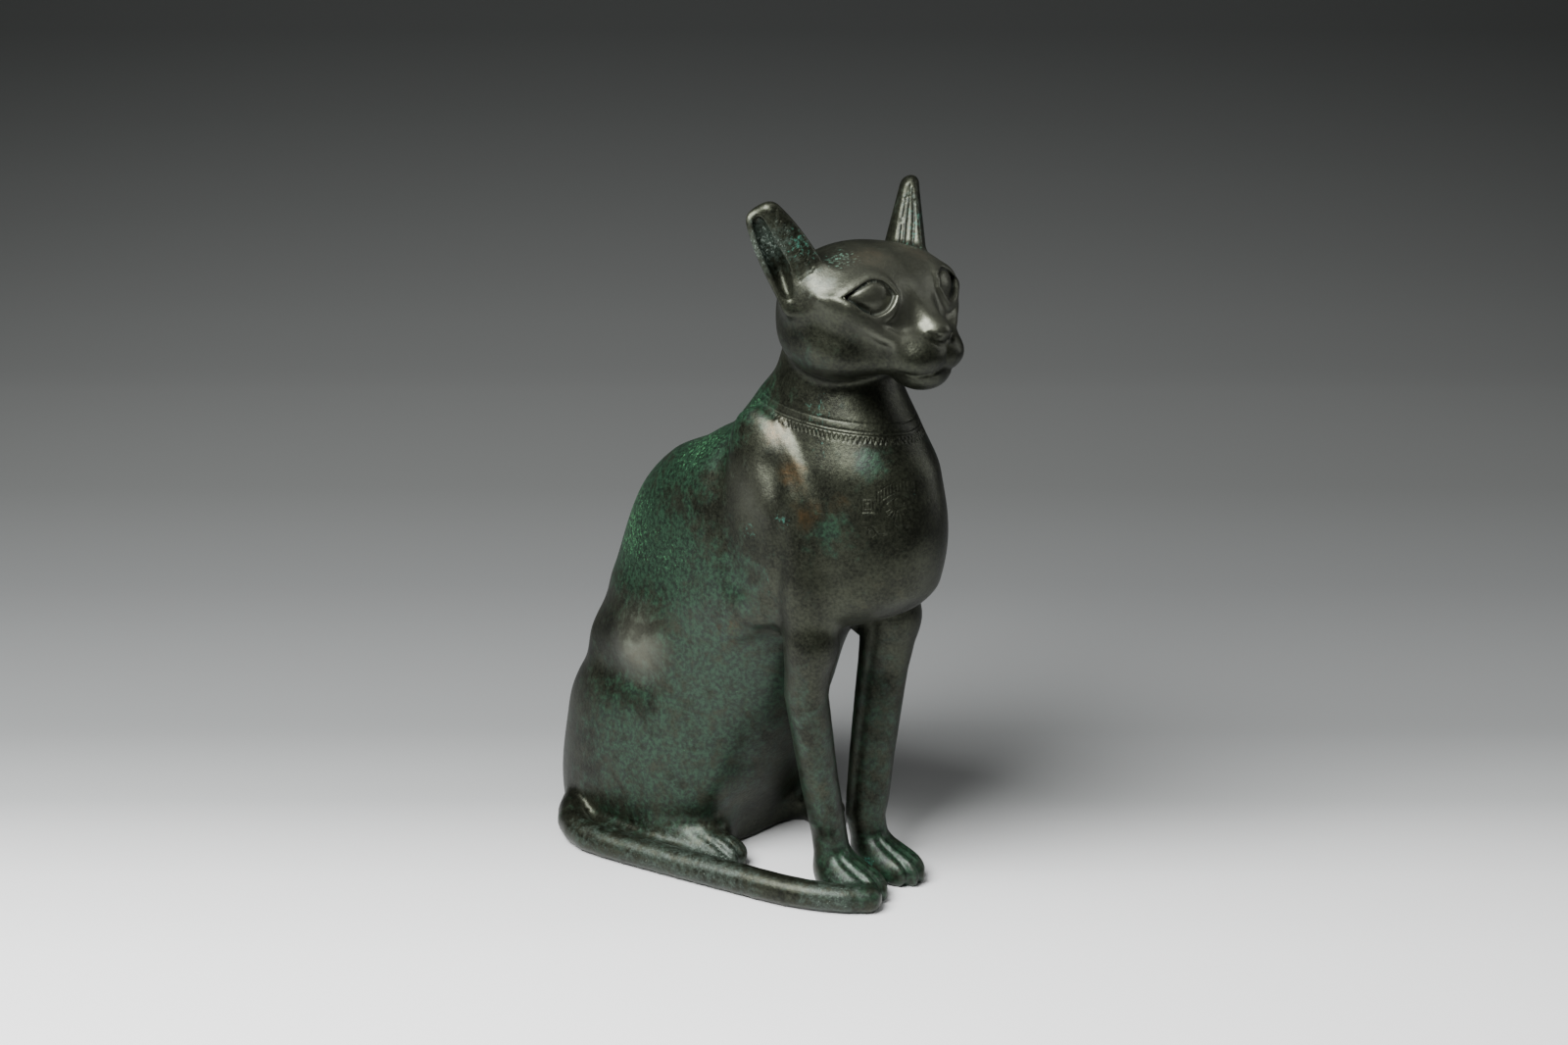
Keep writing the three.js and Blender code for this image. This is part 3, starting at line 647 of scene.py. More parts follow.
def make_sweep():
    profile, runs = sweep_profile()
    away = Vector((-math.sin(math.radians(CAMERA_AZIMUTH)), math.cos(math.radians(CAMERA_AZIMUTH)), 0))
    side = away.cross(Vector((0, 0, 1)))
    count = len(SWEEP_COLUMNS)
    points = [away * reach + Vector((0, 0, height)) + side * column
              for reach, height in profile for column in SWEEP_COLUMNS]
    faces = [(i * count + j, i * count + j + 1, (i + 1) * count + j + 1, (i + 1) * count + j)
             for i in range(len(profile) - 1) for j in range(count - 1)]
    mesh = bpy.data.meshes.new("paper_sweep")
    mesh.from_pydata([tuple(point) for point in points], [], faces)
    runs = np.repeat(runs, count)
    asides = np.tile(np.abs(SWEEP_COLUMNS), len(profile)) - POOL_SPREAD * np.maximum(runs, 0)
    for name, values in (("run", runs), ("aside", asides)):
        mesh.attributes.new(name, "FLOAT", "POINT").data.foreach_set("value", values)
    mesh.shade_smooth()
    return bpy.data.objects.new("paper_sweep", mesh)


sweep = make_sweep()
bpy.context.scene.collection.objects.link(sweep)

# Run in metres, and the paper's painted grey there: a painted pool of light and its falloff
PAINTED_PAPER_LIGHT = [
    (-1.4, "#2c2e2e"), (-0.45, "#505252"), (-0.22, "#ffffff"), (-0.11, "#f1f2f2"), (-0.04, "#dbdcdc"),
    (0.05, "#a0a2a2"), (0.14, "#808282"), (0.39, "#6b6d6d"), (0.63, "#656766"), (0.96, "#6e706f"),
    (1.2, "#666867"), (1.5, "#535554"), (1.66, "#454746"), (1.77, "#3a3c3b"),
]
# Painted light and shade: the paper's colour is bright in a pool before the cat and darker away from it
paper, tree, shader = new_material("paper_with_painted_light")
run = add(tree, "ShaderNodeAttribute", attribute_name="run").outputs["Fac"]
first, last = PAINTED_PAPER_LIGHT[0][0], PAINTED_PAPER_LIGHT[-1][0]
share = add(tree, "ShaderNodeMapRange", {0: run, 1: first, 2: last}).outputs[0]
fade = add(tree, "ShaderNodeValToRGB", {0: share})
for place, tone in PAINTED_PAPER_LIGHT:
    stop = (place - first) / (last - first)
    ends = fade.color_ramp.elements
    element = ends[0] if stop == 0 else ends[-1] if stop == 1 else ends.new(stop)
    element.color = colour(tone)
aside = add(tree, "ShaderNodeAttribute", attribute_name="aside").outputs["Fac"]
pool = add(tree, "ShaderNodeMapRange", {0: aside, 1: POOL_FADES, 2: POOL_ENDS, 3: 1, 4: OUTSIDE_POOL})
lit = add(tree, "ShaderNodeMix", {0: 1, 6: fade.outputs[0], 7: pool.outputs[0]},
          data_type="RGBA", blend_type="MULTIPLY")
tree.links.new(lit.outputs[2], shader.inputs["Base Color"])
shader.inputs["Roughness"].default_value = 0.9
sweep.data.materials.append(paper)

# %% [markdown]
# ## Soft studio light
# A large soft box, high on the left and in front, gives the highlights on brow, shoulder and hip and
# leaves the upright sides dark. A weak strip on the right draws the far edge of the chest, and a panel
# overhead lifts the back. The room itself is a dim grey.

# %% Lights
LIGHT_DISTANCE = 1300


def soft_box(name, azimuth, elevation, size, power):
    """A rectangular lamp that points at the cat. Its size is in metres and its power in watts."""
    light = bpy.data.lights.new(name, "AREA")
    light.shape = "RECTANGLE"
    light.size, light.size_y = size
    light.energy = power
    box = bpy.data.objects.new(name, light)
    look(box, around(azimuth, elevation, LIGHT_DISTANCE), Vector(to_part(LOOK_AT)))


soft_box("key_box", CAMERA_AZIMUTH - 42, 50, (0.9, 0.75), 58)
soft_box("edge_strip", CAMERA_AZIMUTH + 105, 20, (0.3, 1.0), 3)
soft_box("top_panel", CAMERA_AZIMUTH + 10, 78, (0.9, 0.6), 3)

world = bpy.data.worlds.new("dim_room")
world.use_nodes = True
world.node_tree.nodes["Background"].inputs["Color"].default_value = colour("#bcbcba")
world.node_tree.nodes["Background"].inputs["Strength"].default_value = 0.15
bpy.context.scene.world = world

# %% [markdown]
# ## A finer skin on the solid
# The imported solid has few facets. A voxel remesh of a copy gives even quads a couple of millimetres
# wide, and each of their corners is then settled on the field, so the skin has the solid's form without
# its facets. The underside stays flat.

# %% Remesh a copy of the solid
BASE_CELL = 2.5


def plain_copy(obj, name):
    """The evaluated mesh of an object, as a plain mesh."""
    evaluated = obj.evaluated_get(bpy.context.evaluated_depsgraph_get())
    mesh = bpy.data.meshes.new_from_object(evaluated)
    mesh.name = name
    return mesh


def remeshed_solid():
    merged = bmesh.new()
    merged.from_mesh(cad_cat.data)
    bmesh.ops.remove_doubles(merged, verts=merged.verts, dist=1e-6)
    mesh = bpy.data.meshes.new("blank")
    merged.to_mesh(mesh)
    merged.free()
    blank = bpy.data.objects.new("blank", mesh)
    bpy.context.scene.collection.objects.link(blank)
    remesh = blank.modifiers.new("even_quads", "REMESH")
    remesh.mode = "VOXEL"
    remesh.voxel_size = BASE_CELL / 1000
    skin = plain_copy(blank, "cat_bronze")
    bpy.data.objects.remove(blank)
    return skin


def corner_array(mesh):
    """The corners of a mesh in the cat's frame, in mm."""
    return read_corners(mesh) * 1000 - shift


def normal_array(mesh):
    return read_corners(mesh, "normal")


def edge_array(mesh):
    ends = np.empty(2 * len(mesh.edges), int)
    mesh.edges.foreach_get("vertices", ends)
    return ends.reshape(-1, 2)


def put_back(mesh, points):
    mesh.vertices.foreach_set("co", to_part(points).astype(np.float32).ravel())
    mesh.update()


skin = remeshed_solid()
print("remeshed skin:", len(skin.vertices), "corners")

# %% [markdown]
# ## Settle and even out
# Settling alone would bunch the quads. Between two settlings each corner moves towards the middle of
# its neighbours, but only along the surface, which evens the quads and keeps the form.

# %% Fit the skin to the field
UNDERSIDE = 0.7


def neighbour_mean(values, edges):
    """The mean of each corner's neighbours, of one value or of several."""
    values = values.reshape(len(values), -1)
    first, second = edges.T
    count = np.bincount(edges.ravel(), minlength=len(values))
    mean = np.empty_like(values)
    for column in range(values.shape[1]):
        total = np.bincount(first, values[second, column], len(values))
        total += np.bincount(second, values[first, column], len(values))
        mean[:, column] = total / np.maximum(count, 1)
    return mean


def fit(mesh, turns, moved=None):
    """Evens and settles the corners that moved says, or all of them. Those of the base stay flat."""
    edges = edge_array(mesh)
    points = corner_array(mesh)
    moved = np.ones(len(points), bool) if moved is None else moved
    base = points[:, 2] < UNDERSIDE
    points[base, 2] = 0
    skin_part = moved & ~base
    for _ in range(turns):
        normals = normal_array(mesh)
        step = neighbour_mean(points, edges) - points
        step -= (step * normals).sum(1)[:, None] * normals
        points[skin_part] += 0.5 * step[skin_part]
        points[skin_part] = settle(points[skin_part], 1)
        points[skin_part, 2] = np.maximum(points[skin_part, 2], UNDERSIDE)
        put_back(mesh, points)
    points[skin_part] = settle(points[skin_part], 2)
    points[skin_part, 2] = np.maximum(points[skin_part, 2], UNDERSIDE)
    put_back(mesh, points)
    return np.abs(cat(points[skin_part])).max()


print("largest miss after the fit, mm:", fit(skin, 3).round(3))

# %% [markdown]
# ## Finer where it matters
# Eyes, ears, toes and jewellery need smaller quads than a smooth flank. Bmesh splits the faces of a
# region into four and closes the seam round it with triangles, so the skin stays whole.

# %% Refine regions


def refine(mesh, wanted, cell):
    """Splits faces down to a cell in mm where the function wanted says, and fits the corners there."""
    shape = bmesh.new()
    shape.from_mesh(mesh)
    middles = np.array([face.calc_center_median() for face in shape.faces]) * 1000 - shift
    widths = np.sqrt([face.calc_area() for face in shape.faces]) * 1000
    picked = wanted(middles) & (widths > cell * math.sqrt(2))
    edges = {edge for face, pick in zip(shape.faces, picked) if pick for edge in face.edges}
    bmesh.ops.subdivide_edges(shape, edges=list(edges), cuts=1, use_grid_fill=True)
    shape.to_mesh(mesh)
    shape.free()
    miss = fit(mesh, 2, wanted(corner_array(mesh)))
    print("refined to", len(mesh.vertices), "corners, largest miss, mm:", miss.round(3))


def head_and_feet(p):
    x, y, z = np.abs(p[:, 0]), p[:, 1], p[:, 2]
    paws = (z > 1) & (z < 24) & (y < -50) & (x < 27)
    toes = (z > 1) & (z < 20) & (y < 10) & (y > -12) & (x > 22) & (x < 46)
    return (z > 240) | paws | toes


def near_lids(p, inside, outside):
    """Where points lie no more than some mm inside and outside the drop of an eye."""
    along, up, out, drop = eye_places(p)
    return (drop > -inside) & (drop < outside) & (np.abs(out) < 9) & (np.abs(along) < 17)


def face_details(p):
    eyes = near_lids(p, np.inf, 4)
    share, across, front, width, depth = ear_places(on_left_side(p))
    ears = (share > -0.1) & (np.abs(across) < width + 2) & (front > -depth * 0.8) & (front < 3)
    muzzle = (np.abs(p[:, 0]) < 20) & (p[:, 1] < -80) & (p[:, 2] > 243) & (p[:, 2] < 266)
    return eyes | (ears & (p[:, 2] > 284)) | muzzle


def lids(p):
    return near_lids(p, 1.3, 1.3)


refine(skin, head_and_feet, BASE_CELL / 2)
refine(skin, face_details, BASE_CELL / 4)
refine(skin, lids, BASE_CELL / 8)

# %% [markdown]
# ## Rows of graver strokes
# A necklace and a pendant eye are cut into the chest, and short strokes mark the fur in the ears. A
# graver makes rows of strokes that are alike, so one Geometry Nodes tree lays them. It spreads points
# along a path, turns each by the path and by the way in which the strokes fall, and puts two strokes
# on it, which meet in a V or lie in one line.

# %% Tree that lays a row of strokes


def row_tree():
    tree = bpy.data.node_groups.new("row_of_strokes", "GeometryNodeTree")
    for name, kind in (("Path", "Geometry"), ("Strokes", "Int"), ("Length", "Float"), ("Splay", "Float"),
                       ("Material", "Material")):
        tree.interface.new_socket(name, in_out="INPUT", socket_type="NodeSocket" + kind)
    tree.interface.new_socket("Row", in_out="OUTPUT", socket_type="NodeSocketGeometry")
    given = add(tree, "NodeGroupInput").outputs
    curve = add(tree, "GeometryNodeMeshToCurve", {0: given["Path"]}).outputs[0]
    spread = add(tree, "GeometryNodeResampleCurve", {"Curve": curve, "Count": given["Strokes"]}).outputs[0]
    other_way = add(tree, "ShaderNodeMath", {0: given["Splay"], 1: -1}, operation="MULTIPLY").outputs[0]
    pair = add(tree, "GeometryNodeJoinGeometry")
    for side, back in ((given["Splay"], other_way), (other_way, given["Splay"])):
        start = add(tree, "ShaderNodeCombineXYZ", {"X": side}).outputs[0]
        reach = add(tree, "ShaderNodeCombineXYZ", {"X": back, "Z": given["Length"]}).outputs[0]
        line = add(tree, "GeometryNodeMeshLine", {"Count": 2, "Start Location": start, "Offset": reach})
        tree.links.new(line.outputs[0], pair.inputs[0])
    fall = add(tree, "GeometryNodeInputNamedAttribute", {"Name": "fall"}, data_type="FLOAT_VECTOR")
    along = add(tree, "GeometryNodeInputTangent").outputs[0]
    turn = add(tree, "FunctionNodeAlignRotationToVector", {"Vector": fall.outputs[0]}, axis="Z").outputs[0]
    turn = add(tree, "FunctionNodeAlignRotationToVector", {"Rotation": turn, "Vector": along},
               axis="X", pivot_axis="Z").outputs[0]
    hand = add(tree, "FunctionNodeRandomValue", {2: 0.85, 3: 1.1, "Seed": 5}, data_type="FLOAT").outputs[1]
    row = add(tree, "GeometryNodeInstanceOnPoints",
              {"Points": spread, "Instance": pair.outputs[0], "Rotation": turn, "Scale": hand}).outputs[0]
    row = add(tree, "GeometryNodeRealizeInstances", {0: row}).outputs[0]
    row = add(tree, "GeometryNodeSetMaterial", {"Geometry": row, "Material": given["Material"]}).outputs[0]
    add(tree, "NodeGroupOutput", {"Row": row})
    return tree


ROW_TREE = row_tree()
ROW_SOCKETS = {
    item.name: item.identifier for item in ROW_TREE.interface.items_tree if item.in_out == "INPUT"}
print("inputs of the tree:", ROW_SOCKETS)

# %% [markdown]
# ## Lay the strokes on the bronze
# The path of a row is a mesh of edges, in millimetres, and each of its corners carries the direction of
# fall. The tree's strokes are then read back as segments and settled on the surface of the cat.

# %% Rows and lines as segments


def normal_at(points):
    here, slope = slope_of(cat, points)
    return slope / np.linalg.norm(slope, axis=1)[:, None]


def along_surface(directions, normals):
    level = directions - (directions * normals).sum(1)[:, None] * normals
    return level / np.linalg.norm(level, axis=1)[:, None]


def lay_row(name, path, directions, strokes, length, splay, closed=False):
    """Segments of a row of strokes that fall from a path in the given directions."""
    fall = along_surface(directions, normal_at(path))
    ends = [(i, i + 1) for i in range(len(path) - 1)] + [(len(path) - 1, 0)] * closed
    mesh = bpy.data.meshes.new(name)
    mesh.from_pydata(path.tolist(), ends, [])
    mesh.attributes.new("fall", "FLOAT_VECTOR", "POINT").data.foreach_set("vector", fall.ravel())
    guide = bpy.data.objects.new(name, mesh)
    bpy.context.scene.collection.objects.link(guide)
    row = guide.modifiers.new(name, "NODES")
    row.node_group = ROW_TREE
    for socket, value in (("Strokes", strokes), ("Length", length), ("Splay", splay)):
        row[ROW_SOCKETS[socket]] = value
    laid = plain_copy(guide, name)
    bpy.data.objects.remove(guide)
    return settle(read_corners(laid))[edge_array(laid)]


def line_segments(points, closed=False):
    points = settle(np.asarray(points, float))
    following = np.roll(points, -1, axis=0)
    segments = np.stack([points, following], 1)
    return segments if closed else segments[:-1]


# %% [markdown]
# ## The necklace
# Two fine lines run round the neck, with a fainter one above and a row of small Vs that hangs below
# them. On the real cat they stand for strings of beads.

# %% Necklace strokes
NECKLACE_HEIGHT, NECKLACE_SLANT = 220.5, 0.10
NECKLACE_POINTS, NECKLACE_STROKES = 120, 104


def round_the_neck(rise):
    turn = np.arange(NECKLACE_POINTS) * 2 * np.pi / NECKLACE_POINTS
    z = np.full(NECKLACE_POINTS, NECKLACE_HEIGHT)
    for _ in range(3):
        y = (front_line(z) + back_line(z)) / 2 - (back_line(z) - front_line(z)) / 2 * np.cos(turn)
        z = NECKLACE_HEIGHT + NECKLACE_SLANT * (y + 60) + rise
    return settle(np.stack([half_width(z) * np.sin(turn), y, z], 1))


down = np.tile((0.0, 0.0, -1.0), (NECKLACE_POINTS, 1))
necklace = np.concatenate(
    [line_segments(round_the_neck(rise), closed=True) for rise in (3.2, 0, -1.3)]
    + [lay_row("bead_row", round_the_neck(-2), down, NECKLACE_STROKES, 2.7, 1.0, closed=True)])
print("necklace:", len(necklace), "segments")

# %% [markdown]
# ## The pendant eye
# On the right of the chest hangs an eye, the old sign for health, under a broad collar, with a coil and
# a small square beside it. The lines are drawn flat, as right and up in millimetres, and then settled.

# %% Pendant strokes
PENDANT_AT = np.array((-14.6, -81.7, 193.3))
PENDANT_OUT = unit((-0.53, -0.82, 0.2))
PENDANT_RIGHT = unit(np.cross((0, 0, 1), PENDANT_OUT))
PENDANT_UP = np.cross(PENDANT_OUT, PENDANT_RIGHT)


def on_chest(drawn):
    drawn = np.asarray(drawn, float)
    return PENDANT_AT + drawn[:, :1] * PENDANT_RIGHT + drawn[:, 1:] * PENDANT_UP


def smooth_line(drawn, steps=16):
    flat = np.array([(u, v, 0) for u, v in drawn], float)
    return smooth_route(flat, steps)[:, :2]


def arc(centre, radius, start, end, steps=16):
    angle = np.radians(np.linspace(start, end, steps + 1))
    return np.stack([centre[0] + radius * np.cos(angle), centre[1] + radius * np.sin(angle)], 1)


def square(centre, half):
    turns = ((-1, -1), (1, -1), (1, 1), (-1, 1), (-1, -1))
    return [(centre[0] + a * half, centre[1] + b * half) for a, b in turns]


COLLAR_TOP = [(-9.3, 3.6), (-4.1, 6.6), (0.4, 7.9), (5.6, 8.1), (8.7, 7.2)]
COLLAR_FOOT = [(-7.1, 0.7), (-3.3, 2.5), (1.9, 3.6), (5.6, 3), (9.3, 1.7)]
coil = [(-13 + (0.7 + 0.17 * i) * math.cos(0.7 * i), -13.6 + (0.7 + 0.17 * i) * math.sin(0.7 * i))
        for i in range(12)]
PENDANT_LINES = [
    smooth_line(COLLAR_TOP), smooth_line(COLLAR_FOOT), arc((0, -1), 2.2, 0, 360),
    smooth_line([(-6.4, -2.2), (-3, 0.6), (0, 1.9), (3, 1), (7, -1.6)]),
    smooth_line([(-6.4, -2.2), (-3, -3.3), (0, -4.1), (3, -3), (7, -1.6)]),
    smooth_line([(-7, 0.4), (-3.4, 2.6), (0, 3.7)]),
    smooth_line([(-1, -4.6), (-1.9, -7.6), (-2.2, -10.4), (-0.6, -12), (1.2, -11.4)]),
    smooth_line([(3.2, -5), (5, -8), (5.2, -11), (3.4, -12.6), (1.9, -11.2)]),
    smooth_line(coil + [(-9.6, -14.4), (-5.6, -14.6)], 40),
    square((-14, -1.9), 2.7), square((-14, -1.9), 1.3),
]
collar = on_chest(smooth_line(COLLAR_TOP))
lashes = on_chest(arc((0, -1), 4.6, 212, 328))
pendant = np.concatenate(
    [line_segments(on_chest(line)) for line in PENDANT_LINES]
    + [lay_row("collar_ladder", settle(collar), np.tile(-PENDANT_UP, (len(collar), 1)), 13, 4.6, 0.02),
       lay_row("lash_row", settle(lashes), lashes - on_chest([(0, -1)]), 9, 2.4, 0.02)])
print("pendant:", len(pendant), "segments")

# %% [markdown]
# ## Fur in the ears
# The inner part of an ear is a swelling with fine strokes across it, which stand for the fur there. On
# the left ear three long grooves run up to a small leaf shape near the tip.

# %% Ear strokes


def in_ear(side, share, across):
    """Places on an ear's face, given as shares of its height and of its half width."""
    t = np.asarray(share, float)[:, None]
    aside = across * ear_width(t)
    rise = fur_rise(aside, ear_width(t)) + ear_front(t)
    place = EAR_FOOT + t * EAR_LENGTH * EAR_AXIS + aside * EAR_SIDE + rise * EAR_FACE
    return settle(place * (side, 1, 1))


up_the_ear = np.linspace(0.08, 0.82, 15)
inward = np.tile(-EAR_SIDE, (len(up_the_ear), 1))
ear_strokes = np.concatenate([
    lay_row("right_ear_fur", in_ear(-1, up_the_ear, 0.02), inward * (-1, 1, 1), 38, 7.5, 0.25),
    lay_row("left_ear_fur", in_ear(1, up_the_ear, -0.1), inward, 30, 4.5, 0.03),
])


# Towards the camera, and to the right as it sees the cat
TO_CAMERA = np.array((-0.689, -0.665, 0.289))
CAMERA_RIGHT = np.array((0.695, -0.719, 0))
EAR_AXIS_DEPTH = 9


def beside_ear(rows):
    """Places on the side of the left ear that the camera sees, as shares of its height and mm aside."""
    t, aside = np.array(rows, float).T[:, :, None]
    outward = TO_CAMERA * EAR_AXIS_DEPTH + aside * CAMERA_RIGHT
    return settle(EAR_FOOT + t * EAR_LENGTH * EAR_AXIS + outward, 9)


EAR_GROOVES = [
    [(0.2, -6.2), (0.5, -5.4), (0.72, -4.6)],
    [(0.1, -3.4), (0.4, -3), (0.72, -2.4)],
    [(0.1, 0.6), (0.5, 0.4), (0.84, -0.2)],
    [(0.76, -4.6), (0.92, -3.4), (0.76, -2.3), (0.82, -3.4), (0.76, -4.6)],
]
ear_grooves = np.concatenate([line_segments(beside_ear(smooth_line(rows, 10))) for rows in EAR_GROOVES])
print("ears:", len(ear_strokes) + len(ear_grooves), "segments")

# %% [markdown]
# ## Cut the strokes
# A graver takes out a narrow sliver. The skin is split finer round each stroke, and its corners are then
# pushed in by their distance from the nearest stroke. Real cuts in the mesh catch the light as bump
# mapping can't.

# %% Engrave the skin
# Strokes, and the width and the depth of their cut in mm
ENGRAVING = [
    (necklace, 0.34, 0.22), (pendant, 0.32, 0.20), (ear_strokes, 0.38, 0.28), (ear_grooves, 0.8, 0.6),
]
# How near a stroke the skin is split, in mm, and into how many parts of a base cell
SPLITS = ((2.0, 2), (1.0, 4), (0.45, 8))


def to_nearest_stroke(points, groups):
    """Distance in mm from each point to the nearest stroke, or a large number far from them."""
    nearest = np.full(len(points), 99.0)
    for segments in groups:
        low, high = segments.min((0, 1)) - 3, segments.max((0, 1)) + 3
        inside = np.flatnonzero(((points > low) & (points < high)).all(1))
        start, along = segments[:, 0], segments[:, 1] - segments[:, 0]
        length_squared = np.maximum((along ** 2).sum(1), 1e-9)
        for some in np.array_split(inside, len(inside) // 2000 + 1):
            offset = points[some, None] - start
            share = np.clip((offset * along).sum(2) / length_squared, 0, 1)
            gap = np.linalg.norm(offset - share[..., None] * along, axis=2).min(1)
            nearest[some] = np.minimum(nearest[some], gap)
    return nearest


every_stroke = [segments for segments, width, depth in ENGRAVING]
for reach, parts in SPLITS:
    refine(skin, lambda p: to_nearest_stroke(p, every_stroke) < reach, BASE_CELL / parts)

points = corner_array(skin)
sink = np.zeros(len(points))
for segments, width, depth in ENGRAVING:
    share = np.exp(-(to_nearest_stroke(points, [segments]) / width) ** 2)
    sink = np.maximum(sink, depth * share)
points -= sink[:, None] * normal_array(skin)
put_back(skin, points)
print("corners over 0.1 mm deep:", (sink > 0.1).sum(), "faces in all:", len(skin.polygons))

cat_bronze = bpy.data.objects.new("cat_bronze", skin)
bpy.context.scene.collection.objects.link(cat_bronze)
skin.shade_smooth()

# %% [markdown]
# ## Where each colour lies
# Handled places stay brown and smooth, sheltered ones turn green, and what stood in wet ground is grey
# with lime. Each of these is an amount at the skin's corners: a few listed soft patches, and for edges
# and hollows the bend of the skin itself. Sharp edges are rubbed lighter, and a few patches of painted
# highlight on brow, cheek, nose, shoulder, chest and hip add to them. The material reads the amounts as
# attributes.

# %% Bends and patches on the skin
points = corner_array(skin)
normals = normal_array(skin)
edges = edge_array(skin)


def patches(places, rows):
    """The sum of soft patches, each with its centre, its radius and its strength."""
    amount = np.zeros(len(places))
    for centre, radius, strength in rows:
        reach = np.linalg.norm(places - np.array(centre, float), axis=1) / radius
        amount += strength * np.exp(-reach ** 2)
    return amount


def mean_of_edges(values):
    """The mean, at each corner, of a value of the edges that meet there."""
    total = np.bincount(edges[:, 0], values, len(points)) + np.bincount(edges[:, 1], values, len(points))
    return total / np.bincount(edges.ravel(), minlength=len(points))


def bend(turns):
    """How sharply the skin bends at each corner, per mm and evened out: positive in a hollow."""
    span = np.linalg.norm(points[edges[:, 0]] - points[edges[:, 1]], axis=1)
    rise = ((neighbour_mean(points, edges) - points) * normals).sum(1) / mean_of_edges(span) ** 2
    for _ in range(turns):
        rise = 0.5 * rise + 0.5 * neighbour_mean(rise, edges)[:, 0]
    return rise


rise = bend(6)
print("bend, per mm:", np.percentile(rise, (2, 50, 98)).round(3))

# %% Amounts of each finish
# Centre of each patch on the cat's right side, its radius in mm and its strength. All but the lime and
# the spot of malachite lie on the left side too
GREEN = [
    ((-24, -5, 222), 17, 0.9), ((-26, 24, 198), 22, 0.8), ((0, 40, 188), 26, 0.7),
    ((-8, 78, 160), 34, 0.8), ((-32, 68, 148), 30, 0.6), ((-42, 25, 150), 24, 0.6),
    ((-50, 62, 66), 30, 0.45), ((0, 122, 50), 45, 0.4), ((-20, -70, 208), 8, 0.8),
    ((-32, -60, 178), 11, 0.6), ((-38, -12, 150), 18, 0.5), ((-44, 10, 104), 36, 0.5),
    ((-44, 56, 14), 40, 0.35), ((-40, 10, 45), 36, 0.45), ((-14, -62, 8), 24, 0.7),
    ((-22, -42, 60), 36, 0.35), ((-30, -25, 95), 26, 0.35), ((-30, -45, 255), 16, 0.4),
]
# Painted highlights: patches that lighten the tone where the soft box's highlights fall, on hip, brow,
# cheek ridge, nose, shoulder and chest
PAINTED_HIGHLIGHTS = [
    ((-47, 50, 104), 15, 1.3), ((-12, -66, 287), 20, 1.2), ((-18, -80, 270), 10, 1.2),
    ((0, -88, 270), 9, 0.8), ((-40, -18, 190), 14, 0.8), ((20, -80, 185), 22, 0.5),
    ((-33, -55, 282), 9, 0.9), ((-30, -30, 216), 10, 0.5),
]
TEAL = [
    ((-22, -54, 293), 11, 0.75), ((-39, -46, 302), 10, 0.7), ((-41, -38, 181), 5, 0.8),
    ((-42, -20, 173), 6, 0.7), ((-24, -44, 227), 7, 0.7), ((4, -82, 200), 18, 0.3),
    ((-60, 25, 12), 18, 0.35), ((-30, -50, 214), 8, 0.4), ((-38, -30, 150), 14, 0.4),
]
BROWN = [
    ((-13, -62, 293), 9, 0.8), ((0, -60, 278), 36, 0.3), ((-34, -27, 218), 9, 0.8),
    ((-37, -40, 202), 9, 0.9), ((-37, -49, 184), 8, 0.8), ((-31, -62, 192), 9, 0.5),
    ((-47, 50, 98), 13, 0.6), ((-40, -5, 122), 13, 0.6), ((-20, -78, 150), 24, 0.4),
    ((-45, 20, 100), 20, 0.35),
]
LIME = [
    ((-70, 66, 8), 26, 0.6), ((-58, 25, 6), 24, 0.7), ((-50, -15, 6), 24, 0.7),
    ((-35, -62, 6), 22, 0.75), ((-12, -66, 8), 18, 0.25), ((12, -66, 8), 18, 0.25),
    ((-36, 4, 8), 16, 0.45), ((-20, -45, 42), 14, 0.4), ((12, -44, 42), 12, 0.4),
    ((-48, -35, 300), 15, 1.05), ((44, -38, 306), 15, 0.75), ((-34, -56, 284), 12, 0.7),
]
MALACHITE = [((2.2, -52.4, 8.4), 3.2, 1.5)]
# How much a bend counts as a hollow or as an edge, and the bend that an edge needs
HOLLOW_GAIN, EDGE_GAIN, EDGE_START = 3, 1.7, 0.1
on_right = on_left_side(points) * (-1, 1, 1)
amounts = {
    "green": patches(on_right, GREEN),
    "teal": patches(on_right, TEAL) + patches(points, MALACHITE),
    "brown": patches(on_right, BROWN),
    "lime": patches(points, LIME),
    "hollow": rise * HOLLOW_GAIN,
    # The edge amount is wear on sharp edges plus the painted highlight patches
    "edge": -rise * EDGE_GAIN - EDGE_START + patches(on_right, PAINTED_HIGHLIGHTS),
}
for name, amount in amounts.items():
    amount = np.clip(amount, 0, 1).astype(np.float32)
    skin.attributes.new(name, "FLOAT", "POINT").data.foreach_set("value", amount)
    print(name, "covers", amount.mean().round(2))

# %% [markdown]
# ## Bronze under a patina
# Old bronze is metal only where hands keep it clean. There it gives a soft, warm, broken gloss. Under
# the patina it is a dull mineral skin, green from copper salts or grey from lime. So the material is
# one metal, and over it lie layers, each with its own colour, gloss and edge, broken up by noise.

